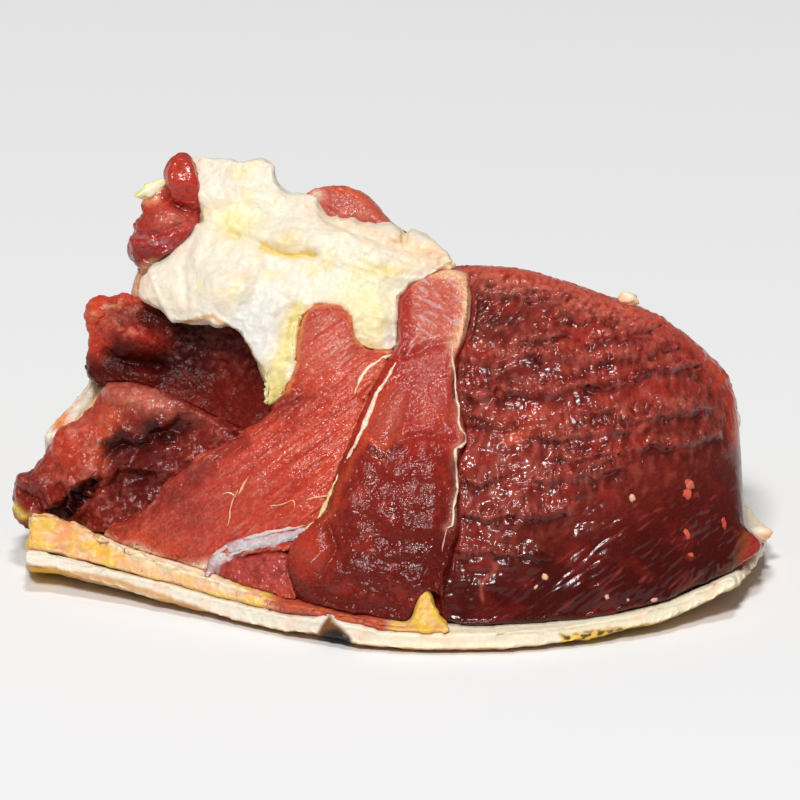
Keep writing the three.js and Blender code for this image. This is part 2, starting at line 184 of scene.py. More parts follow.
def smooth(low: float, high: float, value: Mask) -> Mask:
    """A smooth step.

    Args:
        low: Where it starts to rise.
        high: Where it is full.
        value: What is looked at.

    Returns:
        0 at low, 1 at high.
    """
    t = np.clip((value - low) / (high - low), 0, 1)
    return t * t * (3 - 2 * t)


def fade(low: float, high: float, value: Mask) -> Mask:
    """The reverse of smooth, with the same arguments: 1 at low, 0 at high."""
    return 1 - smooth(low, high, value)


def hill(at: Place, u: float, v: float, across: float, up: float, turn: float = 0) -> Mask:
    """A soft hill on the front view.

    Args:
        at: The places.
        u: Squares from the left to its top.
        v: Squares from the top to its top.
        across: Half its width.
        up: Half its height.
        turn: Degrees that it is turned anticlockwise.

    Returns:
        1 at its top, falling off to 0.
    """
    c, s = math.cos(math.radians(turn)), math.sin(math.radians(turn))
    du, dv = at.u - u, v - at.v
    a, b = du * c + dv * s, dv * c - du * s
    return np.exp(-(a / across) ** 2 - (b / up) ** 2)


def off_line(at: Place, line: Sequence[Spot], closed: bool = False) -> Mask:
    """How far the places are from a run of straight lines.

    Args:
        at: The places.
        line: The corners of the run on the front view.
        closed: Whether the last corner joins the first.

    Returns:
        The distance on the front view, in squares.
    """
    best = np.full(len(at.u), 1e9)
    ends = list(line[1:]) + ([line[0]] if closed else [])
    for (u0, v0), (u1, v1) in zip(line, ends):
        du, dv = u1 - u0, v1 - v0
        t = np.clip(((at.u - u0) * du + (at.v - v0) * dv) / (du * du + dv * dv), 0, 1)
        best = np.minimum(best, (at.u - u0 - t * du) ** 2 + (at.v - v0 - t * dv) ** 2)
    return np.sqrt(best)


def stroke(at: Place, line: Sequence[Spot], width: float) -> Mask:
    """A soft stroke along a line: 1 on it, falling off over its width."""
    return np.exp(-(off_line(at, line) / width) ** 2)


def patch(at: Place, outline: Sequence[Spot], soft: float = 4) -> Mask:
    """A patch of the front view.

    Args:
        at: The places.
        outline: Its corners.
        soft: Half the width of its border, in squares.

    Returns:
        1 inside the outline and 0 outside.
    """
    inside = np.zeros(len(at.u), bool)
    for (u0, v0), (u1, v1) in zip(outline, list(outline[1:]) + [outline[0]]):
        crosses = (v0 > at.v) != (v1 > at.v)
        slope = (u1 - u0) / (v1 - v0) if v1 != v0 else 0.0
        inside ^= crosses & (at.u < u0 + (at.v - v0) * slope)
    away = off_line(at, outline, closed=True)
    return smooth(-soft, soft, np.where(inside, away, -away))


def turned(at: Place, degrees: float) -> tuple[Mask, Mask]:
    """Distances along and across a direction on the cut face, in mm.

    Args:
        at: The places.
        degrees: The direction, anticlockwise from the right.

    Returns:
        How far along it and how far across it each place lies.
    """
    c, s = math.cos(math.radians(degrees)), math.sin(math.radians(degrees))
    return at.x * c + at.rise * s, at.rise * c - at.x * s


@dataclass(frozen=True)
class Cells:
    """Blocks of flesh: how far a point is from its block's middle and from the next block."""

    near: Mask
    next: Mask
    offset: np.ndarray
    lots: np.ndarray  # three random numbers of the block, from 0 to 1

    def seam(self, width: float = 0.25) -> Mask:
        """1 on the seam between two blocks, 0 inside them."""
        return 1 - smooth(0, width, self.next - self.near)

    def domes(self) -> Mask:
        """Each block as a low dome, 1 at its middle."""
        return 1 - np.minimum(1, self.near) ** 2

    def humps(self) -> Mask:
        """Each block as a low dome, as much above 0 as below."""
        return self.domes() - 0.6

    def facets(self) -> Mask:
        """Each block as a facet with a tilt of its own, about -0.5 to 0.5."""
        return ((self.lots - 0.5) * self.offset).sum(-1) * 1.4


class Grain:
    """Seeded noise for relief and tint."""

    def __init__(self, seed: int) -> None:
        """Draws the tables.

        Args:
            seed: The same seed gives the same grain.
        """
        draw = np.random.default_rng(seed)
        self.table = draw.permutation(256)
        slopes = draw.normal(size=(256, 3))
        self.slopes = slopes / np.linalg.norm(slopes, axis=1, keepdims=True)
        self.lots = draw.random((256, 3))

    def _pick(self, cell: np.ndarray) -> np.ndarray:
        """The table entry of each whole-number cell."""
        t = self.table
        return t[(t[(t[cell[:, 0] & 255] + cell[:, 1]) & 255] + cell[:, 2]) & 255]

    def noise(self, a: Mask, b: Mask, c: Mask | float = 0.0) -> Mask:
        """Gradient noise, about -1 to 1, with hills about one unit across.

        Args:
            a: First coordinate.
            b: Second coordinate.
            c: Third coordinate.

        Returns:
            The noise at each point.
        """
        points = np.stack(np.broadcast_arrays(a, b, c), -1).astype(float)
        cell = np.floor(points).astype(np.int64)
        part = points - cell
        ease = part ** 3 * (part * (part * 6 - 15) + 10)
        total = np.zeros(len(points))
        for corner in itertools.product((0, 1), repeat=3):
            slope = self.slopes[self._pick(cell + corner)]
            weight = np.where(corner, ease, 1 - ease).prod(-1)
            total += weight * ((part - corner) * slope).sum(-1)
        return total * NOISE_GAIN

    def rough(self, a: Mask, b: Mask, c: Mask | float = 0.0, octaves: int = 3) -> Mask:
        """Several layers of noise, each half as large and high as the last.

        Args:
            a: First coordinate.
            b: Second coordinate.
            c: Third coordinate.
            octaves: How many layers there are.

        Returns:
            Their sum at each point.
        """
        shift = [(7.3 * i, 3.1 * i) for i in range(octaves)]
        return sum(0.5 ** i * self.noise(a * 2 ** i + shift[i][0], b * 2 ** i + shift[i][1], c * 2 ** i)
                   for i in range(octaves))

    def ridges(self, a: Mask, b: Mask, c: Mask | float = 0.0) -> Mask:
        """Sharp crests, 1 on each crest and 0 between."""
        return 1 - np.minimum(1, 2.2 * np.abs(self.noise(a, b, c)))

    def cells(self, a: Mask, b: Mask, c: Mask | float = 0.0) -> Cells:
        """Blocks about one unit across.

        Args:
            a: First coordinate.
            b: Second coordinate.
            c: Third coordinate.

        Returns:
            The blocks that the points lie in.
        """
        points = np.stack(np.broadcast_arrays(a, b, c), -1).astype(float)
        cell = np.floor(points).astype(np.int64)
        part = points - cell
        near = np.full(len(points), 9.0)
        beyond = near.copy()
        offset = np.zeros_like(points)
        lots = np.zeros_like(points)
        for corner in itertools.product((-1, 0, 1), repeat=3):
            picked = self._pick(cell + corner)
            away = part - corner - (CELL_MARGIN + (1 - 2 * CELL_MARGIN) * self.lots[picked])
            reach = np.sqrt((away * away).sum(-1))
            closer = reach < near
            beyond = np.where(closer, near, np.minimum(beyond, reach))
            near = np.where(closer, reach, near)
            offset[closer] = away[closer]
            lots[closer] = self.lots[(picked[closer] * 7 + 31) & 255]
        return Cells(near, beyond, offset, lots)


def linear(colour: str) -> np.ndarray:
    """A colour as light, from its six-digit code on a screen."""
    screen = np.array([int(colour[i:i + 2], 16) / 255 for i in (0, 2, 4)])
    return np.where(screen <= 0.04045, screen / 12.92, ((screen + 0.055) / 1.055) ** 2.4)


class Tint(Enum):
    """The colours of flesh, fat and hide."""

    DARK_MEAT = "7c2119"
    DEEP_MEAT = "4e0f09"
    MAROON = "3a0806"
    BLACKISH = "160304"
    RED_MEAT = "a3291f"
    BRIGHT_MEAT = "c23f2a"
    ORANGE_MEAT = "d65a35"
    PINK_MEAT = "cf6f5c"
    PALE_PINK = "dfa38c"
    ROSE = "b0473f"
    SILVER = "d3c9ca"
    LAVENDER = "b9a8b4"
    CREAM = "efe2c6"
    WHITE_FAT = "e9dfcc"
    GREY_FAT = "dad7d0"
    YELLOW_CREAM = "eedf98"
    YELLOW_FAT = "e6c352"
    BRIGHT_YELLOW = "e9b41a"
    OLIVE_FAT = "c9b565"
    PEACH = "efb98e"
    ORANGE_FAT = "e08a4a"
    TAN = "c98f46"
    BROWN = "7d4516"
    SCORCH = "1b1008"

    @property
    def light(self) -> np.ndarray:
        """The colour as light."""
        return linear(self.value)


class Coats:
    """Tints laid one over another on a piece, one colour for each vertex."""

    def __init__(self, count: int, base: Tint) -> None:
        """Lays the base.

        Args:
            count: How many vertices there are.
            base: The tint under all others.
        """
        self.colours = np.tile(base.light, (count, 1))

    def lay(self, tint: Tint, amount: Mask | float) -> None:
        """Lays a tint over the coats so far.

        Args:
            tint: What is laid on.
            amount: How much of it, from 0 to 1.
        """
        share = np.clip(np.broadcast_to(amount, len(self.colours)), 0, 1)[:, None]
        self.colours = self.colours * (1 - share) + tint.light * share

    def hills(self, at: Place, rows: Sequence[tuple[Tint, float, tuple[float, ...]]]) -> None:
        """Lays soft hills of tint one after another.

        Args:
            at: The places.
            rows: The tint of each, how much of it, and its hill on the front view.
        """
        for tint, amount, where in rows:
            self.lay(tint, amount * hill(at, *where))


# ---- Finishes ----

@dataclass(frozen=True)
class WetFinish:
    """A wet surface whose tint comes from the piece's own paint."""

    name: str
    roughness: float = 0.24
    roughness_spread: float = 0.08
    wet_mm: float = 5.0  # size of the wetter and drier patches
    specular: float = 0.24
    coat: float = 0.08
    coat_roughness: float = 0.1
    scatter: float = 0.1
    scatter_mm: float = 1.6
    scatter_tint: tuple[float, float, float] = (1.0, 0.35, 0.25)  # how far red, green and blue go
    fleck: float = 0.22  # how far fine flecks lighten and darken the tint
    fleck_mm: float = 0.9
    fibre_turn: float = 97  # direction of the fine fibre on the cut face, in degrees
    fibre_mm: tuple[float, float] = (0.75, 2.8)  # across and along
    fibre_depth: float = 0.16
    granule_mm: float = 0.9
    granule_depth: float = 0.0

    def material(self) -> bpy.types.Material:
        """Makes the material.

        Returns:
            A material on Object coordinates and the painted tint.
        """
        material = bpy.data.materials.new(self.name)
        material.use_nodes = True
        tree = material.node_tree
        shader = tree.nodes["Principled BSDF"]
        where = tree.nodes.new("ShaderNodeTexCoord").outputs["Object"]
        self._colour(tree, where, shader)
        wet = self._noise(tree, where, self.wet_mm, 2)
        self._link_range(tree, wet, shader.inputs["Roughness"], self.roughness, self.roughness_spread)
        shader.inputs["Specular IOR Level"].default_value = self.specular
        shader.inputs["Coat Weight"].default_value = self.coat
        shader.inputs["Coat Roughness"].default_value = self.coat_roughness
        shader.inputs["Subsurface Weight"].default_value = self.scatter
        shader.inputs["Subsurface Radius"].default_value = self.scatter_tint
        shader.inputs["Subsurface Scale"].default_value = self.scatter_mm * MM
        normal = self._bump(tree, self._fibre(tree, where), self.fibre_depth, None)
        if self.granule_depth:
            normal = self._bump(tree, self._granules(tree, where), self.granule_depth, normal)
        tree.links.new(normal, shader.inputs["Normal"])
        tree.links.new(normal, shader.inputs["Coat Normal"])
        return material

    def _colour(self, tree: Tree, where: Socket,
                shader: bpy.types.Node) -> None:
        """Links the painted tint, with fine flecks.

        Args:
            tree: The material's nodes.
            where: The Object coordinates.
            shader: The shader that takes the colour.
        """
        paint = tree.nodes.new("ShaderNodeAttribute")
        paint.attribute_name = "tint"
        mixed = tree.nodes.new("ShaderNodeVectorMath")
        mixed.operation = "SCALE"
        tree.links.new(paint.outputs["Color"], mixed.inputs[0])
        flecks = self._noise(tree, where, self.fleck_mm, 4)
        self._link_range(tree, flecks, mixed.inputs["Scale"], 1, self.fleck)
        tree.links.new(mixed.outputs["Vector"], shader.inputs["Base Color"])

    @staticmethod
    def _link_range(tree: Tree, noise: Socket, target: Socket,
                    middle: float, spread: float) -> None:
        """Links a noise to a socket, spread evenly round a middle value.

        Args:
            tree: The material's nodes.
            noise: The noise, mostly from 0.3 to 0.7.
            target: What takes the value.
            middle: The value at 0.5.
            spread: How far it goes up and down from there.
        """
        spreader = tree.nodes.new("ShaderNodeMapRange")
        spreader.inputs["From Min"].default_value = 0.3
        spreader.inputs["From Max"].default_value = 0.7
        spreader.inputs["To Min"].default_value = middle - spread
        spreader.inputs["To Max"].default_value = middle + spread
        tree.links.new(noise, spreader.inputs["Value"])
        tree.links.new(spreader.outputs["Result"], target)

    @staticmethod
    def _noise(tree: Tree, where: Socket, size_mm: float,
               detail: float) -> Socket:
        """Makes a noise with hills of one size.

        Args:
            tree: The material's nodes.
            where: The Object coordinates.
            size_mm: Size of its hills.
            detail: How many finer layers it has.

        Returns:
            The noise, from 0 to 1.
        """
        noise = tree.nodes.new("ShaderNodeTexNoise")
        noise.inputs["Scale"].default_value = 1 / (size_mm * MM)
        noise.inputs["Detail"].default_value = detail
        tree.links.new(where, noise.inputs["Vector"])
        return noise.outputs["Fac"]

    def _fibre(self, tree: Tree, where: Socket) -> Socket:
        """Makes a noise drawn out along the fibre.

        Args:
            tree: The material's nodes.
            where: The Object coordinates.

        Returns:
            The noise, from 0 to 1.
        """
        across, along = self.fibre_mm
        lie = tree.nodes.new("ShaderNodeMapping")
        lie.vector_type = "TEXTURE"
        lie.inputs["Rotation"].default_value = (-LEAN, math.radians(90 - self.fibre_turn), 0)
        lie.inputs["Scale"].default_value = (across * MM, across * MM, along * MM)
        tree.links.new(where, lie.inputs["Vector"])
        noise = tree.nodes.new("ShaderNodeTexNoise")
        noise.inputs["Scale"].default_value = 1
        noise.inputs["Detail"].default_value = 2
        tree.links.new(lie.outputs["Vector"], noise.inputs["Vector"])
        return noise.outputs["Fac"]

    def _granules(self, tree: Tree, where: Socket) -> Socket:
        """Makes small pits between granules.

        Args:
            tree: The material's nodes.
            where: The Object coordinates.

        Returns:
            1 at the middle of a granule, less in the pits.
        """
        cells = tree.nodes.new("ShaderNodeTexVoronoi")
        cells.inputs["Scale"].default_value = 1 / (self.granule_mm * MM)
        tree.links.new(where, cells.inputs["Vector"])
        turned_over = tree.nodes.new("ShaderNodeMath")
        turned_over.operation = "SUBTRACT"
        turned_over.inputs[0].default_value = 1
        tree.links.new(cells.outputs["Distance"], turned_over.inputs[1])
        return turned_over.outputs["Value"]

    @staticmethod
    def _bump(tree: Tree, height: Socket, depth_mm: float,
              under: Socket | None) -> Socket:
        """Makes a bump of one depth over another.

        Args:
            tree: The material's nodes.
            height: Its height, from 0 to 1.
            depth_mm: How deep it goes.
            under: The normal of the bump under it, or None.

        Returns:
            The normal.
        """
        bump = tree.nodes.new("ShaderNodeBump")
        bump.inputs["Strength"].default_value = 1
        bump.inputs["Distance"].default_value = depth_mm * MM
        tree.links.new(height, bump.inputs["Height"])
        if under is not None:
            tree.links.new(under, bump.inputs["Normal"])
        return bump.outputs["Normal"]


UPRIGHT_GRAIN = WetFinish("dark wet meat", roughness=0.18, roughness_spread=0.05, specular=0.26, coat=0.04,
                          fibre_mm=(0.9, 3), fibre_depth=0.06)
SLANTED_GRAIN = WetFinish("pale wet meat", fibre_turn=38, fibre_mm=(0.7, 5), fibre_depth=0.16,
                          granule_depth=0.12)
GRANULAR = WetFinish("granular wet meat", specular=0.2, fibre_mm=(0.6, 0.9), granule_depth=0.1,
                     fibre_depth=0.08)
SHADED = WetFinish("dark meat of the hollow", roughness=0.3, specular=0.1, coat=0.03, fibre_turn=-35,
                   fibre_mm=(0.7, 2), granule_depth=0.14, fibre_depth=0.14)
GLOSSY = WetFinish("glossy meat", roughness=0.22, coat=0.25, coat_roughness=0.07, fibre_mm=(1, 1.4),
                   fibre_depth=0.08)
FAT = WetFinish("wet fat", roughness=0.5, specular=0.4, coat=0.12, coat_roughness=0.2, scatter=0.2,
                scatter_mm=2.5, fleck=0.04, fleck_mm=1.6, fibre_mm=(1.2, 1.6), fibre_depth=0.14)
SKIN = WetFinish("scalded hide", roughness=0.55, roughness_spread=0.1, specular=0.4, coat=0.1,
                 coat_roughness=0.3, scatter=0.15, fleck=0.06, fleck_mm=1.2, fibre_mm=(0.8, 1.2),
                 fibre_depth=0.14)
MEMBRANE = WetFinish("membrane", roughness=0.34, coat=0.3, scatter=0.2, fleck=0.2, fibre_mm=(0.8, 1.4),
                     fibre_depth=0.24)


# ---- Surfaces ----

BEHIND = 0.7  # mm behind a surface where a ray starts that looks for a neighbour
REACH = 2.5  # mm to which it looks


class Surface:
    """A closed mesh that is refined, relaxed, sculpted and painted."""

    def __init__(self, mesh: bpy.types.Mesh) -> None:
        """Takes over a mesh in metres."""
        self.mesh = mesh

    @classmethod
    def copy_of(cls, node: str, voxel: float) -> "Surface":
        """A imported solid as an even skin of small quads.

        Args:
            node: The CAD node.
            voxel: Size of its quads, in mm.

        Returns:
            The new surface.
        """
        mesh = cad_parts[node].data.copy()
        shell = bmesh.new()
        shell.from_mesh(mesh)
        bmesh.ops.remove_doubles(shell, verts=shell.verts, dist=1e-6)
        shell.to_mesh(mesh)
        shell.free()
        maker = bpy.data.objects.new("maker", mesh)
        bpy.context.scene.collection.objects.link(maker)
        remesh = maker.modifiers.new("skin", "REMESH")
        remesh.mode = "VOXEL"
        remesh.voxel_size = voxel * MM
        graph = bpy.context.evaluated_depsgraph_get()
        skin = bpy.data.meshes.new_from_object(maker.evaluated_get(graph), depsgraph=graph)
        bpy.data.objects.remove(maker)
        return cls(skin)

    @property
    def points(self) -> np.ndarray:
        """The vertices in the frame, in mm."""
        flat = np.empty(len(self.mesh.vertices) * 3, np.float32)
        self.mesh.vertices.foreach_get("co", flat)
        return flat.reshape(-1, 3).astype(float) / MM

    @points.setter
    def points(self, points: np.ndarray) -> None:
        """Moves the vertices."""
        self.mesh.vertices.foreach_set("co", (points * MM).astype(np.float32).ravel())
        self.mesh.update()

    @property
    def normals(self) -> np.ndarray:
        """The vertices' normals."""
        flat = np.empty(len(self.mesh.vertices) * 3, np.float32)
        self.mesh.vertex_normals.foreach_get("vector", flat)
        return flat.reshape(-1, 3).astype(float)

    @property
    def edges(self) -> np.ndarray:
        """The two vertices of each edge."""
        flat = np.empty(len(self.mesh.edges) * 2, np.int32)
        self.mesh.edges.foreach_get("vertices", flat)
        return flat.reshape(-1, 2)

    def spread(self, values: np.ndarray, rounds: int) -> np.ndarray:
        """Evens out a value of each vertex with its neighbours.

        Args:
            values: One value, or one row of them, for each vertex.
            rounds: How often it is evened out.

        Returns:
            The evened values.
        """
        a, b = self.edges.T
        count = len(self.mesh.vertices)
        links = np.maximum(np.bincount(a, minlength=count) + np.bincount(b, minlength=count), 1)
        table = values.reshape(count, -1).copy()
        for _ in range(rounds):
            for i in range(table.shape[1]):
                column = table[:, i]
                total = (np.bincount(a, column[b], count) + np.bincount(b, column[a], count))
                table[:, i] = 0.5 * column + 0.5 * total / links
        return table.reshape(values.shape)

    def relax(self, rounds: int) -> None:
        """Rounds off the skin without shrinking it much.

        Args:
            rounds: How often every vertex goes to its neighbours' middle and most of the way back.
        """
        forth, back = 2, 1.9
        points = self.points
        for _ in range(rounds):
            even = self.spread(points, 1)
            points = points + forth * (even - points)
            even = self.spread(points, 1)
            points = points - back * (even - points)
        self.points = points

    def soften(self, rounds: int) -> None:
        """Evens out the skin."""
        self.points = self.spread(self.points, rounds)

    def bare(self, others: BVHTree, reach: float) -> np.ndarray:
        """Which faces have nothing in front of them.

        Args:
            others: The other pieces.
            reach: How far in front is looked, in mm.

        Returns:
            True for each bare face.
        """
        return np.array([
            others.ray_cast(face.center - face.normal * BEHIND * MM, face.normal, reach * MM)[0] is None
            for face in self.mesh.polygons])

    def grown(self, chosen: np.ndarray, rings: int) -> np.ndarray:
        """A choice of faces grown by a few rings.

        Args:
            chosen: True for each chosen face.
            rings: How many rings are added.

        Returns:
            True for each face of the larger choice.
        """
        flags = np.zeros(len(self.mesh.vertices))
        for face in itertools.compress(self.mesh.polygons, chosen):
            flags[list(face.vertices)] = 1
        flags = self.spread(flags, rings) > 0
        return np.array([flags[list(face.vertices)].all() for face in self.mesh.polygons])

    def refine(self, chosen: np.ndarray) -> None:
        """Cuts the edges of some faces in two.

        Args:
            chosen: True for each of these faces.
        """
        shell = bmesh.new()
        shell.from_mesh(self.mesh)
        edges = {edge for face, yes in zip(shell.faces, chosen) if yes for edge in face.edges}
        bmesh.ops.subdivide_edges(shell, edges=list(edges), cuts=1, use_grid_fill=True)
        shell.to_mesh(self.mesh)
        shell.free()

    def push(self, height: Mask) -> None:
        """Moves each vertex out along its normal, in mm."""
        self.points = self.points + self.normals * height[:, None]

    def paint(self, colours: np.ndarray) -> None:
        """Writes the tints.

        Args:
            colours: One colour for each vertex.
        """
        layer = self.mesh.color_attributes.new("tint", "FLOAT_COLOR", "POINT")
        rgba = np.ones((len(colours), 4), np.float32)
        rgba[:, :3] = np.clip(colours, 0, 1)
        layer.data.foreach_set("color", rgba.ravel())


def other_pieces(node: str) -> BVHTree:
    """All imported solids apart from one, for casting rays at.

    Args:
        node: The solid that is left out.

    Returns:
        The others as one tree.
    """
    points, faces = [], []
    for name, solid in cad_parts.items():
        if name == node:
            continue
        first = len(points)
        points += [vertex.co.copy() for vertex in solid.data.vertices]
        faces += [tuple(first + i for i in face.vertices) for face in solid.data.polygons]
    return BVHTree.FromPolygons(points, faces)


# ---- Flesh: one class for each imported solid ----

@dataclass
class Flesh:
    """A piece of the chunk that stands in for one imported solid."""

    node: ClassVar[str] = ""
    slot: ClassVar[str] = ""
    finish: ClassVar[WetFinish] = UPRIGHT_GRAIN
    base: ClassVar[Tint] = Tint.RED_MEAT
    voxel: float = 1.9  # size of the first quads, in mm
    fill: float = 1.6  # mm that the steep rims come forward, so that the seams are shallow
    press: float = 0.7  # mm that the sides swell into the neighbours, so that no gap shows
    seed: int = 1
    surface: Surface = field(init=False)
    grain: Grain = field(init=False)

    def form(self, at: Place) -> Mask:
        """Broad relief, in mm."""
        return 1.2 * at.noise(16)

    def sway(self, at: Place) -> Shift:
        """Sideways shifts, in mm to the right and up the cut face."""
        return 0.0, 0.0

    def relief(self, at: Place) -> Mask:
        """Fine relief, in mm."""
        return 0.3 * at.rough(4)

    def tint(self, at: Place, coats: Coats) -> None:
        """Lays the tints over the base. Here there are none.

        Args:
            at: The places.
            coats: Takes the tints.
        """

    def build(self) -> bpy.types.Object:
        """Makes the piece.

        Returns:
            The finished object.
        """
        self.grain = Grain(self.seed)
        skin = self.surface = Surface.copy_of(self.node, self.voxel)
        skin.relax(2)
        others = other_pieces(self.node)
        skin.refine(skin.grown(skin.bare(others, REACH), 2))
        skin.soften(1)
        toward = np.array([face.normal.dot(Vector(FRONT)) > 0 for face in skin.mesh.polygons])
        skin.refine(skin.grown(skin.bare(others, REACH) & toward, 2))
        skin.soften(2)
        open_air = self._open_air(others)
        facing = skin.normals @ FRONT
        steep = skin.spread(smooth(0.15, 0.45, facing) * fade(0.55, 1.0, facing), 4)
        skin.points = skin.points + (open_air * self.fill * steep)[:, None] * FRONT
        skin.push((1 - open_air) * self.press)
        skin.soften(2)
        right, up = self.sway(self._places())
        shift = np.outer(np.broadcast_to(right, len(open_air)), (1, 0, 0))
        skin.points = skin.points + shift + np.outer(np.broadcast_to(up, len(open_air)), (0, SIN, COS))
        for shape in (self.form, self.relief):
            skin.push(open_air * shape(self._places()))
        self._rest_on_floor()
        coats = Coats(len(open_air), self.base)
        at = self._places()
        # For the painted shade in hollows and painted light on crests.
        at.hollow = self._hollows()
        self.tint(at, coats)
        skin.paint(coats.colours)
        return self._finished()

    def _places(self) -> Place:
        """Where the vertices lie now."""
        return Place(self.surface.points, self.surface.normals, self.grain)

    def _rest_on_floor(self) -> None:
        """Keeps every vertex just above the floor."""
        least = 0.02  # mm
        points = self.surface.points
        points[:, 2] = np.maximum(points[:, 2], least)
        self.surface.points = points

    def _open_air(self, others: BVHTree) -> Mask:
        """How freely each vertex shows.

        Args:
            others: The other pieces.

        Returns:
            1 where it shows, falling to 0 where it touches a neighbour.
        """
        skin = self.surface
        clear = np.full(len(skin.mesh.vertices), REACH)
        for i, vertex in enumerate(skin.mesh.vertices):
            start = vertex.co - vertex.normal * BEHIND * MM
            away = others.ray_cast(start, vertex.normal, (BEHIND + REACH) * MM)[3]
            if away is not None:
                clear[i] = max(0, away / MM - BEHIND)
        return skin.spread(clear / REACH, 5)

    def _hollows(self) -> Mask:
        """-1 on crests and 1 in hollows, from how far each vertex lies off its neighbours' middle; the
        tints use it to paint shade into the hollows and light onto the crests.
        """
        skin, full = self.surface, 0.25  # mm off it that counts as a full crest or hollow
        points = skin.points
        lift = ((skin.spread(points, 6) - points) * skin.normals).sum(-1)
        return np.clip(lift / full, -1, 1)

    def _finished(self) -> bpy.types.Object:
        """Dresses the piece and puts it on the chunk.

        Returns:
            The object.
        """
        skin = self.surface
        piece = bpy.data.objects.new(f"{self.node}_flesh", skin.mesh)
        bpy.context.scene.collection.objects.link(piece)
        skin.mesh.polygons.foreach_set("use_smooth", np.ones(len(skin.mesh.polygons), bool))
        skin.mesh.materials.clear()
        skin.mesh.materials.append(finished(self.finish))
        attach(piece, "root")
        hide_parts(self.node)
        return piece


_made: dict[str, bpy.types.Material] = {}


def finished(finish: WetFinish) -> bpy.types.Material:
    """The material of a finish, made once.

    Args:
        finish: The finish.

    Returns:
        Its material.
    """
    if finish.name not in _made:
        _made[finish.name] = finish.material()
    return _made[finish.name]


def above(at: Place, line: Sequence[Spot]) -> Mask:
    """How far the places are above or below a line.

    Args:
        at: The places.
        line: Its corners from left to right.

    Returns:
        The distance on the front view, in squares, below 0 under the line.
    """
    level = np.interp(at.u, [u for u, _ in line], [v for _, v in line])
    return np.where(at.v < level, 1, -1) * off_line(at, line)


def ledge(at: Place, line: Sequence[Spot], width: float) -> Mask:
    """A step along a line, with a steep underside, a long upper flank and a crease below.

    Args:
        at: The places.
        line: Where its underside runs.
        width: Its reach, in squares.

    Returns:
        Its height, up to 1.
    """
    away = above(at, line)
    flank = smooth(-0.35 * width, 0.5 * width, away) * fade(0.4 * width, 2.4 * width, away)
    return flank - 0.2 * np.exp(-((away + 0.4 * width) / (0.6 * width)) ** 2)


